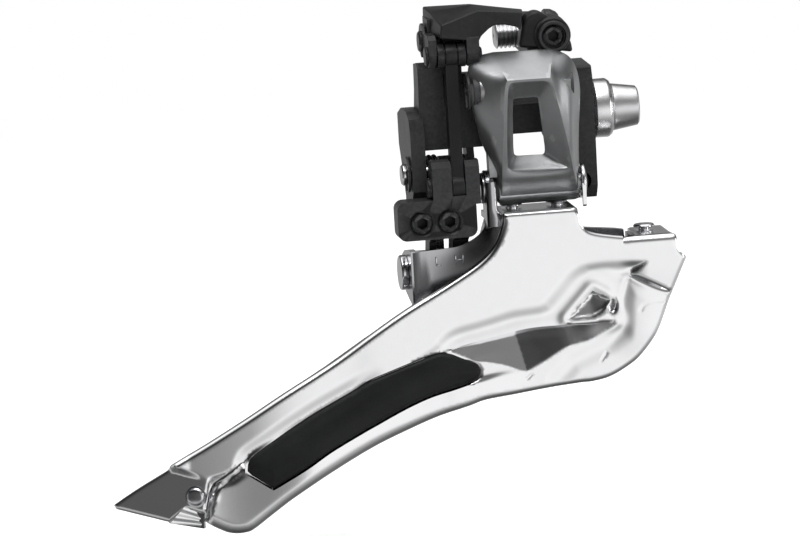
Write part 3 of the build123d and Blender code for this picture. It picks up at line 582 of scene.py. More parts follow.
# lobe below the skid strip, with the lower margin
LOBE_PTS = [
    (-71.4, -60.0), (-74.8, -62.2), (-76.1, -63.2), (-76.8, -64.4), (-77.4, -66.6),
    (-77.8, -69.0), (-78.5, -76.0), (-50.0, -76.0), (20.0, -62.0), (20.0, -48.0), (2.0, -43.5),
    (-9.0, -45.0), (-17.4, -46.0), (-21.9, -46.4), (-26.3, -47.2), (-31.7, -47.9),
    (-39.0, -50.0), (-49.0, -54.4), (-60.1, -60.4), (-66.4, -63.7)]
TAIL_VALLEY_PTS = [(-78.6, -65.6), (-77.7, -62.4), (-76.0, -61.7), (-74.0, -61.2),
                   (-72.4, -60.2)]
NOSE_VALLEY = [(-12.0, -48.0), (-8.5, -44.6), (-2.0, -41.8), (1.0, -40.0)]
LEAF_PTS = [(-5.2, -26.9), (-2.5, -26.5), (1.5, -26.5), (5.9, -26.7), (4.0, -28.3),
            (2.1, -29.1), (0.3, -28.7), (-0.5, -28.1), (-1.8, -27.8), (-3.4, -27.9),
            (-5.0, -27.9)]
# scored lines: points, depth, half width
GROOVES = [([(4.6, -35.6), (5.2, -34.8), (6.1, -34.3), (7.9, -34.1), (9.6, -34.3)], 0.05, 0.35),
           ([(-17.5, -46.9), (-16.6, -46.2)], 0.08, 0.25),
           ([(-3.3, -44.6), (-2.2, -43.2)], 0.07, 0.25)]

# smoothed curves, used both for the relief and as edges of the mesh
top_line = open_curve(TOP_PTS, step=1.0, corner=50)
lower_line = open_curve(LOWER_PTS, step=1.0)
skid_loop = resample(SKID_LOW + SKID_END + SKID_TOP, 0.8, 50)
recess_top = open_curve(RECESS_TOP_PTS)
recess_nose = open_curve(RECESS_NOSE_PTS)
recess_tail = open_curve(RECESS_TAIL_PTS)
recess_loop = np.concatenate([recess_top, recess_nose[1:], recess_tail[1:-1]])
window_loop = resample(WINDOW_PTS, 0.6, 20)
window_low = open_curve(WINDOW_LOW_PTS, step=0.6)
upper_loop = resample(UPPER_PTS, 0.8, 60)
lobe_loop = resample(LOBE_PTS, 0.8, 60)
tail_valley = open_curve(TAIL_VALLEY_PTS)
leaf_loop = resample(LEAF_PTS, 0.5, 60)

# ----------------------------------------------------------------------
# cage outer plate: relief
# ----------------------------------------------------------------------
RECESS_WALL = 0.3                            # width of the steep wall along the recess top
POCKET_WALL = (-0.30, -0.02)                 # offsets from the skid loop: top, foot of wall
POCKET_DEPTH = 0.12


def recess_planes(points):
    """Depths of the two planes of the recess: from the nose side and from the tail side."""
    nose_slope = 0.36 - 0.12 * blend(points[:, 0], -9, -4)
    return line_dist(points, recess_nose) * nose_slope, line_dist(points, recess_tail) * 0.42


def lobe_height(x):
    return (2.4 - 1.8 * blend(x, -62, -32) - 0.6 * blend(x, -32, -16)
            - 2.1 * blend(x, -57, -80))


def arm_lean(x):
    """The upper arm swells, then leans inboard towards the tail."""
    t = np.clip((-44 - x) / 34, 0, 1.1)
    return 0.7 * blend(x, -48, -70) - 2.0 * t * t


def relief(points):
    """Outboard relief of the outer plate at the (x, z) points."""
    x, z = points[:, 0], points[:, 1]
    upper = signed_dist(points, upper_loop)
    rise = blend(upper, -1.6, 1.2)
    height = FIELD_RISE * (rise + (1 - rise) * blend(x, 0.5, 6.5) * blend(upper, -11, 0))
    lobe = blend(signed_dist(points, lobe_loop), -1.5, -0.3)
    height += arm_lean(x) * (1 - lobe)
    # pressed leaf below the upper field
    leaf = signed_dist(points, leaf_loop)
    height -= 0.5 * blend(leaf, -0.5, 1.0) * (0.12 + 0.88 * blend(x, 0.5, 4))
    # the strip under the step comes forward to the edge of the recess
    below_top = line_dist(points, recess_top)
    height += 0.16 * blend(below_top, 3, 0) * blend(upper, 0, -1.5)
    # lobe and lower margin stand proud
    height += lobe_height(x) * lobe
    height -= 0.45 * blend(line_dist(points, tail_valley), 1.5, 0) * blend(x, -80, -78.8)
    # faceted recess: two planes meeting in a V, a steep wall along the top
    depth = np.minimum(*recess_planes(points)) * linear(below_top, 0, RECESS_WALL)
    height -= np.where(signed_dist(points, recess_loop) > 0, depth, 0)
    # window pocket with raised flanks
    window = signed_dist(points, window_loop)
    depth = (0.08 + 0.27 * line_dist(points, window_low)) * linear(window, 0, 0.3)
    height -= np.where(window > 0, depth, 0)
    flank = (window < 0) & (z > -37.2)
    height += 0.16 * np.exp(-((window + 1.0) / 0.9) ** 2) * flank * blend(x, 0.2, -1.4)
    # hollow round the nick
    hollow = np.hypot((x + 0.6) / 1.3, (z + 34.7) / 1.7)
    height -= 0.28 * blend(hollow, 1, 0) * blend(window, -0.1, -0.6)
    # dip below the slit, then the dome of the nose
    slit = signed_dist(points, BELOW_SLIT)
    height -= 0.12 * blend(slit, -0.1, 0.8) * blend(x, -3, 1) * blend(slit, 3.3, 0.8)
    height += 0.22 * blend(np.hypot((x - 5.2) / 9.0, (z + 38.5) / 8.5), 1, 0)
    # soft valley running down from the recess
    height -= 0.10 * blend(line_dist(points, NOSE_VALLEY), 2.4, 0)
    for line, groove_depth, half_width in GROOVES:
        height -= groove_depth * linear(line_dist(points, line), half_width, 0)
    # upper margin: a tight roll
    height -= 0.5 * linear(line_dist(points, top_line), 0.9, 0) ** 2
    # lower edge rolls inboard, tight at the nose and broad along the lobe
    broad = blend(x, -12, -52)
    lower = line_dist(points, lower_line)
    height -= (0.40 + 0.40 * broad) * linear(lower, 0.9 + 1.2 * broad, 0) ** 2
    # the plate rolls off towards the skid strip
    skid = signed_dist(points, skid_loop)
    height -= 0.32 * blend(skid, -2.7, -0.3) * (1 - lobe) * blend(x, -44, -52)
    # skid pocket with a flat floor
    pocket = linear(skid, *POCKET_WALL)
    return height * (1 - pocket) - POCKET_DEPTH * pocket


# ----------------------------------------------------------------------
# cage outer plate: bends and mesh
# ----------------------------------------------------------------------
# the neck and the nose tab fold inboard above these heights, with these radii
NECK_FOLD_Z, NECK_FOLD_RADIUS = -16.35, 0.5
NOSE_FOLD_Z, NOSE_FOLD_RADIUS = -23.0, 0.9
FOLD_START, FOLD_END = np.array((-84.7, -58.5)), np.array((-77.6, -61.4))   # tail fold line
FACET_X = -78.5
# the tail is drawn as seen from the front: x and z shift per mm that it lies inboard
SIGHT_X, SIGHT_Z = 0.1406, -0.1392


def past_tail_fold(x, z):
    """How far a point lies past the slanted, then upright fold line of the tail."""
    along = FOLD_END - FOLD_START
    normal = np.array((along[1], -along[0]))
    normal = normal / np.linalg.norm(normal)
    slanted = (x - FOLD_START[0]) * normal[0] + (z - FOLD_START[1]) * normal[1]
    upright = (-78.0 + 0.17 * (z - FOLD_END[1])) - x
    return np.minimum(slanted * 1.6, upright)


def tail_y(x):
    """Face of the tail facet."""
    return PLATE_Y + 0.75 + 0.355 * (FACET_X - x)


def place_outer(points, side, rim):
    x, z = points[:, 0], points[:, 1]
    past_neck = np.where((x < 2) & (x > -21), z - NECK_FOLD_Z, -99)
    past_nose = np.where(x > 2, z - NOSE_FOLD_Z, -99)
    # past the neck and nose folds the sheet is plain
    plain = blend(past_neck, -1.5, 0) + blend(past_nose, -1.5, 0)
    height = relief(points) * (1 - plain) + FIELD_RISE * plain
    facet = blend(past_tail_fold(x, z), -0.5, 1.1)
    if side == 0:
        rounding = 0.25 * blend(rim, 0.5, 0) ** 2
        y = (PLATE_Y - height) * (1 - facet) + tail_y(x) * facet + rounding
    else:
        y = (PLATE_Y - height * 0.85) * (1 - facet) + tail_y(x) * facet + PLATE_THICKNESS
    inboard = y - PLATE_Y
    for past, fold_z, radius in ((past_neck, NECK_FOLD_Z, NECK_FOLD_RADIUS),
                                 (past_nose, NOSE_FOLD_Z, NOSE_FOLD_RADIUS)):
        angle = np.clip(past / radius, 0, math.pi / 2)
        beyond = np.maximum(past - radius * math.pi / 2, 0)
        bent_y = PLATE_Y + radius - (radius - inboard) * np.cos(angle) + beyond
        y = np.where(past > 0, bent_y, y)
        z = np.where(past > 0, fold_z + (radius - inboard) * np.sin(angle), z)
    shift = (y - PLATE_Y) * facet
    return np.stack([x + SIGHT_X * shift, y, z + SIGHT_Z * shift], 1)


def recess_floor():
    """The line where the two planes of the recess meet."""
    floor = []
    xs = np.linspace(-26.5, -12.0, 400)
    for z in np.arange(-45.0, -38.2, 0.5):
        row = np.stack([xs, np.full(len(xs), z)], 1)
        nose_depth, tail_depth = recess_planes(row)
        gap = nose_depth - tail_depth
        crossing = ((gap[:-1] > 0) & (gap[1:] <= 0)
                    & (signed_dist(row[:-1], recess_loop) > 0.15))
        if crossing.any():
            i = int(np.argmax(crossing))
            floor.append((xs[i] + (xs[1] - xs[0]) * gap[i] / (gap[i] - gap[i + 1]), z))
    return np.array(floor)


def lobe_lines(outline):
    """Lines along the flank of the lobe, where they are clear of the rim and skid strip."""
    lines = []
    for distance in (-1.5, -0.9, -0.3):
        ring = inset(lobe_loop, distance)
        clear = ((signed_dist(ring, outline) > 0.5) & (signed_dist(ring, skid_loop) < -0.55)
                 & (ring[:, 0] < -30))
        run = []
        for point, keep in zip(ring, clear):
            if keep:
                run.append(point)
                continue
            if len(run) > 2:
                lines.append(np.array(run))
            run = []
    return lines


def outer_plate():
    outline = resample(TOP_PTS + NECK_PTS + NOSE_PTS + LOWER_PTS + TAIL_PTS, MESH_STEP)
    lines = [closed_line(recess_loop), recess_floor(),
             offset_line(recess_top, -RECESS_WALL)[1:-1],
             closed_line(window_loop), closed_line(inset(window_loop, 0.25))]
    lines += [closed_line(inset(skid_loop, distance)) for distance in POCKET_WALL[::-1]]
    lines += lobe_lines(outline)
    # rows of points across the two folds: fold height, x range, heights above the fold
    for fold_z, x0, x1, rises in (
            (NECK_FOLD_Z, -19.9, -6.4, (-0.25, 0.0, 0.2, 0.4, 0.6, 0.8)),
            (NOSE_FOLD_Z, 5.2, 11.4, (-0.25, 0.0, 0.35, 0.7, 1.05, 1.42))):
        for rise in rises:
            lines.append(np.array([(x, fold_z + rise) for x in np.arange(x0, x1, 0.5)]))
    for points, _, half_width in GROOVES:
        line = open_curve(points, step=0.3, corner=80)
        lines += [line, offset_line(line, half_width), offset_line(line, -half_width)]
    holes = [resample(NICK_PTS, 0.3, 60), resample(SLIT_PTS, 0.35, 60)]
    shape = sheet_mesh(outline, holes, lines, MESH_STEP, place_outer, rings=(0.2, 0.45, 0.9))
    ob = new_object("outer_plate_shell", shape, MATERIALS["plate_chrome"], sharp_deg=50)
    register(ob, rides="cage", replaces="cage_outer_plate")


outer_plate()


# ----------------------------------------------------------------------
# skid plate: domed strip in the pocket of the outer plate
# ----------------------------------------------------------------------
def place_skid(points, side, rim):
    x = points[:, 0]
    if side == 0:
        from_top, from_low = line_dist(points, SKID_TOP), line_dist(points, SKID_LOW)
        t = from_top / (from_top + from_low + 1e-9)
        # the strip spans from the arm above it to the lobe below
        bank = (FIELD_RISE + arm_lean(x)) * (1 - t) + lobe_height(x) * t
        y = (PLATE_Y - bank - 0.12 - 0.5 * blend(signed_dist(points, skid_loop), 0, 3.2)
             + 0.4 * blend(rim, 0.55, 0) ** 2)
    else:
        y = np.full(len(points), PLATE_Y + 0.30)
    return np.stack([x, y, points[:, 1]], 1)


skid_shape = sheet_mesh(inset(skid_loop, 0.04), [], [], MESH_STEP, place_skid,
                        rings=(0.2, 0.45))
skid = new_object("skid_strip", skid_shape, MATERIALS["black_resin"], sharp_deg=60)
register(skid, rides="cage", replaces="skid_plate")

# ----------------------------------------------------------------------
# outer link: forged window frame, subdivision surface with wall thickness
# ----------------------------------------------------------------------
# Rings of 15 matching points (x, y, z) round the window: 0-2 along the top, 3-7 down the
# nose side, 8 the bottom, 9-14 up the tail side.
LINK_EDGE = [
    (-20.9, -18.2, 14.4), (-14.5, -18.2, 14.3), (-8.9, -18.2, 14.2), (-5.0, -18.6, 13.0),
    (-3.9, -19.6, 7.4), (-4.4, -18.6, 2.3), (-4.8, -17.6, -4.4), (-4.9, -15.6, -14.7),
    (-12.5, -15.6, -14.7), (-20.0, -15.6, -14.7), (-21.1, -17.4, -7.2), (-23.4, -18.2, -2.0),
    (-24.8, -20.4, 4.4), (-25.6, -19.6, 12.2), (-23.6, -18.0, 13.9)]
LINK_CROWN = [
    (-19.4, -21.3, 12.3), (-14.5, -21.3, 12.3), (-9.6, -21.3, 12.2), (-7.4, -22.4, 10.8),
    (-6.6, -23.7, 6.8), (-6.4, -23.2, 1.7), (-6.0, -21.0, -4.9), (-5.4, -18.7, -12.0),
    (-12.8, -18.7, -12.0), (-19.8, -18.7, -12.0), (-20.4, -20.4, -6.6), (-21.6, -22.0, -1.4),
    (-22.4, -23.4, 4.8), (-22.7, -23.1, 9.8), (-21.3, -22.0, 11.9)]
LINK_RIM_OUTER = [
    (-18.6, -25.1, 9.75), (-14.5, -25.1, 9.75), (-10.5, -25.1, 9.7), (-9.6, -24.9, 6.4),
    (-8.7, -24.0, 2.0), (-7.5, -22.7, -3.1), (-6.8, -21.4, -6.9), (-6.4, -20.3, -9.2),
    (-13.0, -20.3, -9.2), (-19.9, -20.3, -9.2), (-19.8, -21.4, -5.5), (-19.6, -22.6, -1.6),
    (-19.4, -23.9, 3.2), (-19.2, -24.7, 7.1), (-19.0, -25.0, 8.9)]
LINK_RIM_INNER = [
    (-18.0, -25.0, 9.2), (-14.4, -25.05, 9.3), (-10.9, -25.0, 9.1), (-10.1, -24.7, 7.0),
    (-9.2, -23.8, 2.0), (-8.0, -22.5, -3.1), (-7.3, -21.3, -6.7), (-7.1, -20.4, -8.2),
    (-12.9, -20.1, -8.1), (-18.7, -20.4, -7.8), (-18.9, -21.3, -5.4), (-18.9, -22.4, -1.6),
    (-18.8, -23.7, 2.9), (-18.6, -24.6, 6.6), (-18.5, -24.9, 8.4)]
LINK_MID = [
    (-17.6, -23.9, 7.7), (-14.7, -24.0, 7.8), (-11.7, -23.9, 7.6), (-11.2, -23.4, 5.7),
    (-10.5, -22.4, 1.6), (-9.7, -21.1, -2.5), (-9.1, -19.95, -5.6), (-9.2, -19.3, -7.0),
    (-13.8, -19.2, -6.9), (-18.1, -19.3, -6.7), (-18.2, -20.0, -4.4), (-18.2, -21.1, -1.2),
    (-18.1, -22.3, 2.4), (-18.0, -23.2, 5.3), (-17.9, -23.6, 6.7)]
LINK_HOLE = [
    (-17.3, -22.6, 6.0), (-15.0, -22.7, 6.0), (-12.7, -22.6, 6.0), (-12.5, -22.0, 4.4),
    (-12.1, -21.0, 1.3), (-11.7, -19.8, -1.9), (-11.3, -18.7, -4.5), (-11.5, -18.3, -5.4),
    (-14.4, -18.2, -5.4), (-17.1, -18.3, -5.3), (-17.3, -18.9, -3.5), (-17.3, -19.9, -0.8),
    (-17.4, -21.0, 1.9), (-17.4, -21.9, 4.1), (-17.35, -22.3, 5.2)]
# the back edge follows the outline, but for the foot
LINK_BACK = [(x * 0.985 - 0.2, y + 1.7, z * 0.95 - 0.2) for x, y, z in LINK_EDGE]
LINK_BACK[7:10] = [(-5.2, -13.6, -14.5), (-12.5, -13.6, -14.5), (-19.9, -13.6, -14.5)]
LINK_RINGS = [LINK_BACK, LINK_EDGE, LINK_CROWN, LINK_RIM_OUTER, LINK_RIM_INNER, LINK_MID,
              LINK_HOLE]

# creases along a ring: {ring: (on the listed point pairs, elsewhere)}
FLOOR_PAIRS = ((7, 8), (8, 9))
SQUARE_PAIRS = ((0, 1), (1, 2), (6, 7), (7, 8), (8, 9), (9, 10))   # facet's top, square foot
RING_CREASES = {0: ((), 0.0, 0.6), 1: (SQUARE_PAIRS, 1.0, 0.45), 3: (FLOOR_PAIRS, 0.35, 1.0),
                4: (FLOOR_PAIRS, 0.25, 0.5), 6: ((), 0.0, 0.6)}
# creases from ring to ring: {(ring, next ring): {point: crease}}
FACET_SIDES = {0: 1.0, 2: 1.0, 9: 1.0, 7: 0.6}
CROSS_CREASES = {(0, 1): {7: 0.8, 9: 0.8}, (1, 2): FACET_SIDES, (2, 3): FACET_SIDES,
                 (4, 5): {0: 0.35, 2: 0.35, 7: 0.8, 9: 0.35},
                 (5, 6): {0: 0.35, 2: 0.35, 7: 0.35, 9: 0.35}}


def link_crease(edge, count):
    (ring_a, i), (ring_b, j) = [divmod(vertex, count) for vertex in sorted(edge.vertices)]
    if ring_a != ring_b:
        return CROSS_CREASES.get((ring_a, ring_b), {}).get(i, 0.0)
    pairs, listed, elsewhere = RING_CREASES.get(ring_a, ((), 0.0, 0.0))
    return listed if (i, j) in pairs else elsewhere


def link_shell():
    count = len(LINK_EDGE)
    verts = [point for ring in LINK_RINGS for point in ring]
    ob = new_object("outer_link_shell", (verts, band_faces(count, len(LINK_RINGS))),
                    MATERIALS["gunmetal"])
    creases = ob.data.attributes.new("crease_edge", "FLOAT", "EDGE")
    for edge in ob.data.edges:
        creases.data[edge.index].value = link_crease(edge, count)
    subdivision = ob.modifiers.new("sub", "SUBSURF")
    subdivision.levels = subdivision.render_levels = 3
    wall = ob.modifiers.new("wall", "SOLIDIFY")
    wall.thickness = 0.75 * MM
    wall.offset = -1
    wall.use_even_offset = False
    # apply both, so that the bevel sees the final edges
    bpy.context.view_layer.update()
    graph = bpy.context.evaluated_depsgraph_get()
    fine = bpy.data.meshes.new_from_object(ob.evaluated_get(graph))
    ob.modifiers.clear()
    ob.data = fine
    smooth_faces(fine)
    bevel(ob, 0.22, segments=2, angle=24)
    return ob


# (y, z) section of the ribs at both sides of the link
LINK_RIB = [(-22.9, 8.9), (-19.0, 9.4), (-17.0, 2.0), (-15.5, -4.6), (-15.6, -9.2),
            (-18.9, -9.0), (-18.2, -5.0), (-20.2, 0.0), (-22.0, 4.0)]


def link_ears():
    parts = [tube_x(LINK_UPPER, 2.9, -23.4, -20.05, hole=2.45, rounding=0.2),
             tube_x(LINK_UPPER, 2.9, -10.95, -6.8, hole=2.45, rounding=0.2),
             tube_x(LINK_LOWER, 3.0, -20.3, -5.0, hole=2.6, rounding=0.3),
             prism_x(LINK_RIB, -22.0, -20.6), prism_x(LINK_RIB, -7.8, -6.4)]
    ob = new_object("outer_link_ears", join(parts), MATERIALS["gunmetal"], sharp_deg=40)
    bevel(ob, 0.3)
    return ob


for part in [link_shell(), link_ears()]:
    register(part, rides="outer_link", replaces="outer_link")

# ----------------------------------------------------------------------
# cable arm: faceted bar over an arch, round lug for the tension screw
# ----------------------------------------------------------------------
# matching loops (x, y, z) of the bar, front to back
BAR_FRONT = [(-30.0, -20.1, 17.9), (-29.7, -20.2, 20.3), (-22.6, -19.4, 22.5),
             (-14.0, -18.2, 21.4), (-14.6, -18.5, 18.1), (-15.4, -18.6, 18.8),
             (-17.6, -19.0, 19.4), (-19.6, -19.3, 19.5), (-20.7, -19.5, 18.9),
             (-22.2, -19.8, 17.7), (-22.8, -20.0, 16.7), (-25.3, -20.1, 17.2)]
BAR_MID = [(-31.2, -14.0, 17.4), (-30.9, -14.0, 22.3), (-22.6, -13.0, 22.9),
           (-13.2, -13.0, 21.3), (-14.6, -13.0, 18.4), (-15.4, -13.0, 19.0),
           (-17.6, -13.0, 19.5), (-19.6, -13.0, 19.6), (-20.7, -13.0, 19.2),
           (-22.2, -13.0, 18.3), (-22.8, -14.0, 16.7), (-25.3, -14.0, 17.0)]
BAR_BACK = [(x, -8.6, z) for x, z in (
    (-31.5, 18.6), (-31.4, 22.7), (-22.6, 22.5), (-12.6, 20.7), (-14.6, 18.6), (-15.4, 19.2),
    (-17.6, 19.5), (-19.6, 19.6), (-20.7, 19.3), (-22.2, 18.6), (-22.8, 18.4), (-25.3, 18.4))]
# (x, z) outline of the lug
LUG = [(-14.8, 14.6), (-14.4, 16.3), (-13.9, 18.6), (-13.4, 20.1), (-12.0, 21.0),
       (-10.7, 21.1), (-9.1, 20.1), (-7.4, 18.6), (-6.0, 16.8), (-4.9, 15.1), (-4.6, 13.0)]
# (x, z) and (y, z) sections of the two webs behind the lug
LUG_WEB_XZ = [(-12.6, 13.0), (-12.6, 19.4), (-9.35, 19.2), (-9.35, 12.2)]
LUG_WEB_YZ = [(-12.3, 12.2), (-12.3, 19.4), (-6.0, 19.3), (4.6, 17.8), (6.0, 16.6),
              (6.0, 11.8), (-2.0, 11.6), (-6.0, 12.4)]
BOSS_CENTRE = (-8.4, 16.5)                   # (x, z)
# (y, radius) profile of the boss
BOSS = [(-12.3, 3.55), (-16.9, 3.4), (-17.15, 3.25), (-17.25, 3.05), (-17.3, 2.9),
        (-17.6, 2.8), (-18.2, 2.9), (-18.4, 2.7), (-18.4, 2.35), (-17.5, 2.3), (-17.5, 2.06),
        (-12.3, 2.06)]
# (y, z) sections of the webs from the hubs up to the bar
WEB_BACK = [(-14.2, 17.8), (-13.4, 19.2), (-12.0, 18.9), (-9.4, 18.9), (-8.4, 18.6),
            (-8.6, 20.9), (-14.4, 20.9)]
WEB_FRONT = [(HUB_FRONT[0] - 2.28, HUB_FRONT[1] + 0.2), (-20.1, 17.6), (-19.0, 18.4),
             (-14.6, 18.4), (HUB_FRONT[0] + 2.28, HUB_FRONT[1] + 0.2),
             (HUB_FRONT[0] + 1.3, HUB_FRONT[1] + 1.5), (HUB_FRONT[0] - 1.3, HUB_FRONT[1] + 1.5)]


def cable_arm():
    black = MATERIALS["black_alloy"]
    bar = new_object("cable_arm_bar", loft(BAR_FRONT, BAR_MID, BAR_BACK), black)
    bevel(bar, 0.75, segments=4, angle=25)
    body = loft([(x, -16.2, z) for x, z in LUG],
                [(x, -12.2, z - 0.2 * (z < 15)) for x, z in LUG])
    lug = new_object("cable_arm_lug", join([body, prism_y(LUG_WEB_XZ, -12.3, 0.0),
                                            prism_x(LUG_WEB_YZ, -12.6, -9.35)]), black)
    bevel(lug, 0.7, segments=4, angle=25)
    boss = new_object("cable_arm_boss", lathe_y(BOSS, BOSS_CENTRE), black, sharp_deg=35)
    parts = []
    for x0, x1 in ((-31.5, -28.9), (-25.2, -22.7)):
        parts += [tube_x(HUB_BACK, 3.1, x0, x1, hole=1.8, rounding=0.35),
                  prism_x(WEB_BACK, x0, x1)]
    for x0, x1 in ((-32.3, -30.75), (-25.15, -22.7)):
        parts += [tube_x(HUB_FRONT, 2.3, x0, x1, hole=1.05, rounding=0.35),
                  prism_x(WEB_FRONT, x0 + 0.02, x1 - 0.02)]
    hubs = new_object("cable_arm_hubs", join(parts), black, sharp_deg=40)
    bevel(hubs, 0.22, segments=2, angle=35)
    for ob in (bar, lug, boss, hubs):
        register(ob, rides="cable_arm", replaces="cable_arm")


cable_arm()

# ----------------------------------------------------------------------
# bracket of the inner plate: pressed face that twists up towards the link pin
# ----------------------------------------------------------------------
# (x, z) edges; the first two points of each belong to the turned end at the tail side
BRACKET_TOP = [(-36.7, -22.9), (-35.7, -22.8), (-34.9, -22.7), (-32.8, -22.6), (-30.7, -22.5),
               (-28.2, -22.3), (-26.4, -21.8), (-24.5, -20.9), (-23.0, -19.6), (-22.4, -18.4),
               (-22.2, -16.6)]
BRACKET_LOW = [(-36.7, -33.0), (-35.7, -33.0), (-34.9, -33.0), (-32.8, -32.6), (-30.7, -31.6),
               (-28.2, -30.2), (-26.4, -29.0), (-24.5, -27.8), (-21.8, -25.4), (-20.3, -22.4),
               (-20.0, -17.2)]
BRACKET_ROWS = 12
BRACKET_Y, BRACKET_BACK_Y = -12.75, -12.35
# strokes of the two stamped letters: x0, x1, z0, z1
STROKES = ((-32.25, -31.95, -25.6, -23.9), (-32.25, -31.1, -25.6, -25.3),
           (-28.65, -28.35, -25.6, -23.8), (-27.3, -27.0, -25.6, -23.8),
           (-28.65, -27.0, -24.85, -24.55))


def bracket_front():
    """Grid of points on the front face, column by column."""
    top = open_curve(BRACKET_TOP[2:], step=0.7)
    spaces = len(top) - 1
    low = np.array(BRACKET_LOW[2:])
    lengths = np.concatenate([[0], np.cumsum(np.hypot(*np.diff(low, axis=0).T))])
    stations = np.linspace(0, lengths[-1], len(top))
    low = np.stack([np.interp(stations, lengths, low[:, k]) for k in (0, 1)], 1)
    top = np.concatenate([BRACKET_TOP[:2], top])
    low = np.concatenate([BRACKET_LOW[:2], low])
    front = []
    for i in range(len(top)):
        u = max(0.0, min(1.0, (i - 2) / spaces))
        for j in range(BRACKET_ROWS + 1):
            v = j / BRACKET_ROWS
            x, z = top[i] * (1 - v) + low[i] * v
            tilt = 0.0
            if i >= 3:
                tilt = 0.25 + 1.5 * blend(u * 1.4, 0, 1) + 0.35 * math.sin(math.pi * v)
            y = BRACKET_Y - tilt * v + (0.35 if i == 0 else 0.0)
            front.append((x, float(y), z))
    return front


def bracket():
    front = bracket_front()
    columns = len(front) // (BRACKET_ROWS + 1) - 1
    # the skin takes the darker chrome, painted shade for its dark reflection
    skin = new_object("bracket_skin", grid_slab(front, BRACKET_BACK_Y, columns, BRACKET_ROWS),
                      SHADED_CHROME, sharp_deg=35)
    bevel(skin, 0.12, segments=2, angle=40, weighted=False)
    register(skin, rides="cage")
    # stamped letters beside the limit screws, at the height of the nearest skin point; raised
    # strokes in bright steel, a painted highlight for the glint on the stamped edges
    grid = np.array(front)
    parts = []
    for x0, x1, z0, z1 in STROKES:
        x, z = (x0 + x1) / 2, (z0 + z1) / 2
        y = grid[np.argmin((grid[:, 0] - x) ** 2 + (grid[:, 2] - z) ** 2), 1]
        parts.append(prism_y([(x0, z0), (x1, z0), (x1, z1), (x0, z1)], y - 0.10, y + 0.3))
    stamps = new_object("bracket_stamps", join(parts), MATERIALS["pin_steel"])
    bevel(stamps, 0.07, segments=2, angle=30)
    register(stamps, rides="cage")


bracket()

# ----------------------------------------------------------------------
# ears of the cage on the lower outer pin: rounded strap and washers seen edge on
# ----------------------------------------------------------------------
STRAP_X = -22.75                             # tail side of the strap
STRAP_Y = -17.9
STRAP_TOP, STRAP_FOOT = -9.9, -18.3          # z
STRAP_ROWS, STRAP_ARC = 18, 10


def strap():
    """Upright strap with a rounded front, widening towards its foot."""
    verts = []
    for i in range(STRAP_ROWS + 1):
        z = STRAP_TOP + (STRAP_FOOT - STRAP_TOP) * i / STRAP_ROWS
        right = -20.75 + 1.2 * float(blend(z, -14.9, -16.9))
        middle, half = (STRAP_X + right) / 2, (right - STRAP_X) / 2
        for j in range(STRAP_ARC + 1):
            angle = math.pi * j / STRAP_ARC
            verts.append((middle - half * math.cos(angle),
                          STRAP_Y - 0.8 * math.sin(angle) ** 0.8, z))
        verts += [(right, STRAP_Y + 0.7, z), (STRAP_X, STRAP_Y + 0.7, z)]
    size = STRAP_ARC + 3
    caps = [tuple(range(size)), tuple(STRAP_ROWS * size + j for j in reversed(range(size)))]
    return verts, band_faces(size, STRAP_ROWS + 1) + caps


# the rear ear takes the darker chrome, painted shade
rear_ear = new_object(
    "cage_ear_rear", join([strap(), tube_x(LINK_LOWER, 3.35, -22.75, -22.25, rounding=0.2),
                           tube_x(LINK_LOWER, 2.9, -23.35, -22.7, rounding=0.2)]),
    SHADED_CHROME, sharp_deg=50)
front_ear = new_object(
    "cage_ear_front", join([tube_x(LINK_LOWER, 3.3, -4.58, -3.75, hole=2.4),
                            prism_x([(-18.3, -11.4), (-18.45, -15.4), (-17.2, -15.9),
                                     (-16.6, -12.5)], -4.6, -3.95)]),
    MATERIALS["plate_chrome"], sharp_deg=50)
for part in (rear_ear, front_ear):
    register(part, rides="cage")

# ----------------------------------------------------------------------
# end of the inner plate below the tail facet: a small rippled tab
# ----------------------------------------------------------------------
# (x, z) corners: top edge and bottom edge, each from -X to +X
TAB_TOP = np.array([(-82.7, -66.1), (-79.1, -68.3)])
TAB_LOW = np.array([(-85.75, -69.1), (-80.0, -70.1)])
TAB_COLUMNS, TAB_ROWS = 14, 10


def inner_tab():
    front = []
    for i in range(TAB_COLUMNS + 1):
        for j in range(TAB_ROWS + 1):
            u, v = i / TAB_COLUMNS, j / TAB_ROWS
            top = TAB_TOP[0] * (1 - u) + TAB_TOP[1] * u
            low = TAB_LOW[0] * (1 - u) + TAB_LOW[1] * u
            x, z = top * (1 - v) + low * v
            y = -19.05 + 0.10 * math.sin(4.0 * math.pi * v + 1.2 * u) + 0.25 * (1 - v)
            front.append((x, y, z))
    return grid_slab(front, -17.2, TAB_COLUMNS, TAB_ROWS)


register(new_object("inner_plate_tab", inner_tab(), MATERIALS["plate_chrome"], sharp_deg=45),
         rides="cage")

# ----------------------------------------------------------------------
# link pin, tail rivet, mount washer
# ----------------------------------------------------------------------
# the pin is a plain rod inside the link's shoulders
pin = new_object("outer_link_pin_rod", tube_x(LINK_UPPER, 1.95, -24.2, -6.2, rounding=0.3),
                 MATERIALS["pin_steel"], sharp_deg=40)
register(pin, rides="base", replaces="outer_link_pin")

RIVET_X, RIVET_Z = -80.9, -64.2
RIVET_SEGMENTS = 48
RIVET_APEX = 0.62
# (radius, height outboard of the facet): domed head, then shank and peened inner head
RIVET_RINGS = [(1.1, 0.60), (1.45, 0.50), (1.62, 0.32), (1.70, 0.12), (2.0, 0.06), (2.1, -0.3),
               (1.3, -0.3), (1.3, -2.5), (2.0, -2.5), (2.0, -2.9), (1.6, -3.1)]


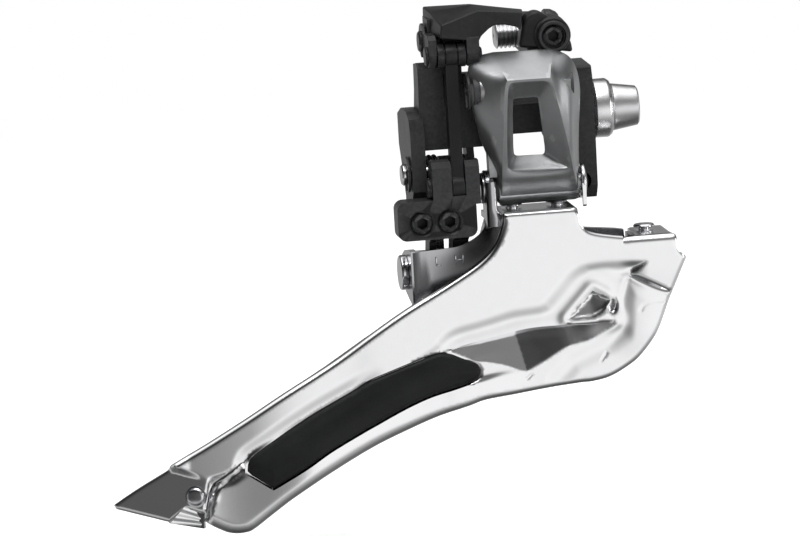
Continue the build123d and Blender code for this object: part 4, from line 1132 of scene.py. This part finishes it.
def tail_rivet():
    """Rivet square to the turned tail facet."""
    along = np.array((-0.9215, 0.3885))      # (x, y) along the facet in plan
    outward = np.array((-along[1], along[0]))
    y = tail_y(RIVET_X + 0.1)
    inboard = y - PLATE_Y
    centre = np.array((RIVET_X + SIGHT_X * inboard, y))
    centre_z = RIVET_Z + SIGHT_Z * inboard
    verts = [(*(centre + outward * RIVET_APEX), centre_z)]
    for radius, height in RIVET_RINGS:
        for i in range(RIVET_SEGMENTS):
            angle = 2 * math.pi * i / RIVET_SEGMENTS
            verts.append((*(centre + along * radius * math.cos(angle) + outward * height),
                          centre_z + radius * math.sin(angle)))
    faces = [(0, 1 + i, 1 + (i + 1) % RIVET_SEGMENTS) for i in range(RIVET_SEGMENTS)]
    last = 1 + (len(RIVET_RINGS) - 1) * RIVET_SEGMENTS
    for first in range(1, last, RIVET_SEGMENTS):
        for i in range(RIVET_SEGMENTS):
            a, b = first + i, first + (i + 1) % RIVET_SEGMENTS
            faces.append((a, a + RIVET_SEGMENTS, b + RIVET_SEGMENTS, b))
    faces.append(tuple(last + i for i in range(RIVET_SEGMENTS)))
    return verts, faces


register(new_object("tail_rivet_head", tail_rivet(), MATERIALS["pin_steel"], sharp_deg=40),
         rides="cage", replaces="tail_rivet")

# (x, radius) profile
WASHER = [(0.02, 2.75), (0.02, 4.7), (0.12, 4.85), (0.85, 5.42), (1.0, 5.5), (3.3, 5.52),
          (3.5, 5.46), (4.05, 5.05), (4.12, 4.9), (4.12, 2.75)]
washer = new_object("mount_washer_ring", lathe_x(WASHER), MATERIALS["washer_alloy"],
                    sharp_deg=25)
register(washer, rides="base", replaces="mount_washer")

# ----------------------------------------------------------------------
# cable clamp bolt: threaded shank and round head with a hex socket
# ----------------------------------------------------------------------
CLAMP_CENTRE = (0.2, 15.0)                   # (y, z)
THREAD_START, THREAD_LIMIT, THREAD_PITCH = -17.0, -9.6, 0.8   # x
THREAD_ROOT, THREAD_CREST, BORE_RADIUS = 2.14, 2.46, 0.4
SOCKET_FLAT = 2.0                            # axis to a flat of the hex
SOCKET_CORNER = SOCKET_FLAT / math.cos(math.pi / 6)
HEAD_POINTS = 48
# (x, radius) from the shank outwards and into the socket; None is the hex itself
HEAD_LOOPS = ((-7.5, 4.15), (-7.2, 4.35), (-6.1, 4.25), (-5.15, 3.75), (-4.75, 3.3),
              (-4.7, 2.9), (-4.72, SOCKET_CORNER + 0.3), (-4.85, None), (-6.9, None))


def clamp_shank():
    profile = [(THREAD_START, 1.9)]
    x = THREAD_START
    while x < THREAD_LIMIT:
        profile += [(x + 0.15, THREAD_ROOT - 0.02), (x + 0.38, THREAD_CREST),
                    (x + 0.50, THREAD_CREST), (x + 0.75, THREAD_ROOT)]
        x += THREAD_PITCH
    profile += [(-9.0, THREAD_ROOT), (-8.8, THREAD_CREST), (-7.6, THREAD_CREST),
                (-7.6, BORE_RADIUS), (THREAD_START, BORE_RADIUS)]
    return lathe_x(profile, CLAMP_CENTRE)


def clamp_head():
    verts = []
    sixth = math.pi / 3
    for x, radius in HEAD_LOOPS:
        for i in range(HEAD_POINTS):
            angle = 2 * math.pi * i / HEAD_POINTS
            from_flat = (angle + sixth / 2) % sixth - sixth / 2
            r = SOCKET_FLAT / math.cos(from_flat) if radius is None else radius
            verts.append((x, CLAMP_CENTRE[0] + r * math.cos(angle),
                          CLAMP_CENTRE[1] + r * math.sin(angle)))
    last = (len(HEAD_LOOPS) - 1) * HEAD_POINTS
    caps = [tuple(range(HEAD_POINTS))[::-1], tuple(last + i for i in range(HEAD_POINTS))]
    return verts, band_faces(HEAD_POINTS, len(HEAD_LOOPS)) + caps


shank = new_object("clamp_bolt_shank", clamp_shank(), MATERIALS["bolt_steel"], sharp_deg=50)
register(shank, rides="cable_arm", replaces="cable_clamp_bolt")
head = new_object("clamp_bolt_head", clamp_head(), MATERIALS["black_steel"], sharp_deg=35)
register(head, rides="cable_arm")

# ----------------------------------------------------------------------
# CAD pieces that keep their shape
# ----------------------------------------------------------------------
BEVEL_WIDTHS = {"base_bracket": 0.35, "inner_link": 0.35, "connecting_link": 0.25,
                "cage_inner_plate": 0.25, "mount_bolt": 0.2}
SMALL_BEVEL = 0.12                           # all other pieces


def dress_cad(name, material):
    """Welds the import's split edges, rounds them, and gives the piece its material."""
    ob = frame["nodes"][name]
    mesh = ob.data
    mesh.materials.clear()
    mesh.materials.append(material)
    if mesh.has_custom_normals:
        normals = mesh.attributes.get("custom_normal")
        if normals:
            mesh.attributes.remove(normals)
    smooth_faces(mesh)
    if "sharp_edge" in mesh.attributes:
        mesh.attributes.remove(mesh.attributes["sharp_edge"])
    weld = ob.modifiers.new("weld", "WELD")
    weld.merge_threshold = 0.000002          # metres
    bevel(ob, BEVEL_WIDTHS.get(name, SMALL_BEVEL))


slots = {piece["node"]: piece["material_slot"] for piece in frame["record"]["subparts"]}
for name in sorted(frame["nodes"]):
    if name not in replaced:
        # the inner plate takes the darker chrome, painted shade
        dress_cad(name, SHADED_CHROME if name == "cage_inner_plate" else MATERIALS[slots[name]])

# ----------------------------------------------------------------------
# floor, world and lights; positions and sizes here are in metres
# ----------------------------------------------------------------------
FLOOR_HALF, FLOOR_Z = 3.0, -0.0765
FLOOR_FADE = (0.16, 0.60)                    # distance at which the fade starts and ends

# glossy world by height: (place from straight down 0 to straight up 1, brightness);
# white bench below, dark band above the lens, white ceiling
HEIGHT_STOPS = [(0.0, 0.06), (0.12, 0.20), (0.24, 0.50), (0.335, 0.90), (0.41, 1.06),
                (0.50, 1.03), (0.555, 0.84), (0.62, 0.42), (0.68, 0.22), (0.80, 0.20),
                (0.90, 0.9), (1.0, 2.3)]
# glossy world round the object: (degrees from straight in front, brightness)
AROUND_STOPS = [(-180, 0.35), (-140, 0.6), (-100, 0.25), (-60, 0.07), (-40, 0.08),
                (-22, 0.12), (-9, 0.20), (-2, 0.36), (3.5, 0.68), (7, 1.0), (46, 1.0),
                (62, 0.35), (90, 0.28), (112, 0.8), (150, 0.35), (180, 0.35)]
CEILING_BAND = (0.55, 0.85)                  # Z of the view direction where the sides even out
BENCH_BAND, BENCH_SHARE = (-0.30, -0.44), 0.9   # the same downwards, and how far
DIFFUSE_STRENGTH, BACKDROP_STRENGTH = 0.6, 1.0

LIGHT_TARGET = (-0.04, -0.01, -0.02)
# name, location, size, power in watts, seen in reflections; the strips draw highlights
LIGHTS = (("key", (-0.35, -0.7, 0.75), (0.5, 0.5), 5, False),
          ("fill", (0.8, -0.4, 0.35), (0.5, 0.5), 3, False),
          ("top", (0.0, 0.15, 0.9), (0.7, 0.5), 4, False),
          ("back", (0.2, 0.8, 0.4), (0.5, 0.4), 3, False),
          ("strip_top", (-0.15, -0.35, 0.7), (0.5, 0.12), 1.2, True),
          ("strip_right", (0.7, -0.35, 0.05), (0.10, 0.5), 0.8, True))


def floor():
    """Pale floor that fades into the white background, so no horizon shows."""
    material, tree, shader = new_material("floor")
    feed(tree, shader, {"Base Color": (0.93, 0.93, 0.93, 1), "Roughness": 0.9})
    geometry = add_node(tree, "NewGeometry")
    distance = add_node(tree, "VectorMath", {0: geometry.outputs["Position"]},
                        operation="LENGTH")
    fade = map_range(tree, distance.outputs["Value"], *FLOOR_FADE,
                     interpolation_type="SMOOTHSTEP")
    rays = add_node(tree, "LightPath")
    white = add_node(tree, "Emission", {"Color": (1, 1, 1, 1)})
    factor = math_node(tree, "MULTIPLY", fade, rays.outputs["Is Camera Ray"])
    mix = add_node(tree, "MixShader", {"Fac": factor, 1: shader.outputs[0],
                                       2: white.outputs[0]})
    feed(tree, tree.nodes["Material Output"], {"Surface": mix.outputs[0]})
    mesh = bpy.data.meshes.new("floor")
    corners = ((-1, -1), (1, -1), (1, 1), (-1, 1))
    mesh.from_pydata([(x * FLOOR_HALF, y * FLOOR_HALF, FLOOR_Z) for x, y in corners], [],
                     [(0, 1, 2, 3)])
    ob = bpy.data.objects.new("floor", mesh)
    bpy.context.scene.collection.objects.link(ob)
    mesh.materials.append(material)
    ob.visible_glossy = False


def world():
    """A painted studio for reflections, even light for diffuse rays, white for the camera."""
    studio = bpy.data.worlds.new("studio")
    bpy.context.scene.world = studio
    studio.use_nodes = True
    tree = studio.node_tree
    tree.nodes.clear()

    def toward_one(level, amount):
        rest = math_node(tree, "SUBTRACT", 1.0, level)
        return math_node(tree, "ADD", level, math_node(tree, "MULTIPLY", amount, rest))

    def background(strength):
        node = add_node(tree, "Background", {"Strength": strength, "Color": (1, 1, 1, 1)})
        return node.outputs[0]

    output = add_node(tree, "OutputWorld")
    coords = add_node(tree, "TexCoord")
    split = add_node(tree, "SeparateXYZ", {0: coords.outputs["Generated"]})
    x, y, z = (split.outputs[axis] for axis in "XYZ")
    by_height = ramp(tree, math_node(tree, "MULTIPLY_ADD", z, 0.5, 0.5),
                     [(place, (grey,) * 3) for place, grey in HEIGHT_STOPS])
    angle = math_node(tree, "ARCTAN2", x, math_node(tree, "MULTIPLY", y, -1.0))
    turn = math_node(tree, "MULTIPLY_ADD", angle, 1 / (2 * math.pi), 0.5)
    around = ramp(tree, turn, [(0.5 + degrees / 360.0, (grey,) * 3)
                               for degrees, grey in AROUND_STOPS])
    around = toward_one(around, map_range(tree, z, *CEILING_BAND))
    # low down the bench is bright all round, so the plates stay bright from other sides too
    bench = math_node(tree, "MULTIPLY", map_range(tree, z, *BENCH_BAND), BENCH_SHARE)
    around = toward_one(around, bench)
    glossy = background(math_node(tree, "MULTIPLY", by_height, around))
    soft = background(DIFFUSE_STRENGTH)
    white = background(BACKDROP_STRENGTH)
    rays = add_node(tree, "LightPath").outputs
    lit = add_node(tree, "MixShader", {"Fac": rays["Is Diffuse Ray"], 1: glossy, 2: soft})
    seen = add_node(tree, "MixShader", {"Fac": rays["Is Camera Ray"], 1: lit.outputs[0],
                                        2: white})
    feed(tree, output, {"Surface": seen.outputs[0]})


def area_light(name, location, size, power, glossy):
    light = bpy.data.lights.new(name, "AREA")
    light.shape = "RECTANGLE"
    light.size, light.size_y = size
    light.energy = power
    ob = bpy.data.objects.new(name, light)
    bpy.context.scene.collection.objects.link(ob)
    ob.location = location
    aim = Vector(LIGHT_TARGET) - Vector(location)
    ob.rotation_euler = aim.to_track_quat("-Z", "Y").to_euler()
    ob.visible_glossy = glossy


floor()
world()
bpy.context.scene.view_settings.view_transform = "Standard"
for light_entry in LIGHTS:
    area_light(*light_entry)

# ----------------------------------------------------------------------
# camera
# ----------------------------------------------------------------------
AZIMUTH, ELEVATION, ROLL = math.radians(-8), math.radians(8), math.radians(3.3)
CAMERA_DISTANCE = 4.0                        # metres
SENSOR_WIDTH = 36                            # mm on the sensor
VIEW_WIDTH = 149.53271                       # mm across the picture
VIEW_RIGHT, VIEW_UP = -35.15888, -29.79439   # picture centre from the origin, mm


def camera():
    back = Vector((math.sin(AZIMUTH) * math.cos(ELEVATION),
                   -math.cos(AZIMUTH) * math.cos(ELEVATION), math.sin(ELEVATION)))
    level = Vector((math.cos(AZIMUTH), math.sin(AZIMUTH), 0))
    upright = back.cross(level)
    right = level * math.cos(ROLL) - upright * math.sin(ROLL)
    up = level * math.sin(ROLL) + upright * math.cos(ROLL)
    centre = (right * VIEW_RIGHT + up * VIEW_UP) * MM
    data = bpy.data.cameras.new("photo_camera")
    ob = bpy.data.objects.new("photo_camera", data)
    bpy.context.scene.collection.objects.link(ob)
    rotation = Matrix((right, up, back)).transposed().to_4x4()
    ob.matrix_world = Matrix.Translation(centre + back * CAMERA_DISTANCE) @ rotation
    data.sensor_width = SENSOR_WIDTH
    data.sensor_fit = "HORIZONTAL"
    data.lens = SENSOR_WIDTH * CAMERA_DISTANCE / (VIEW_WIDTH * MM)
    data.clip_start = 0.01
    bpy.context.scene.camera = ob


camera()
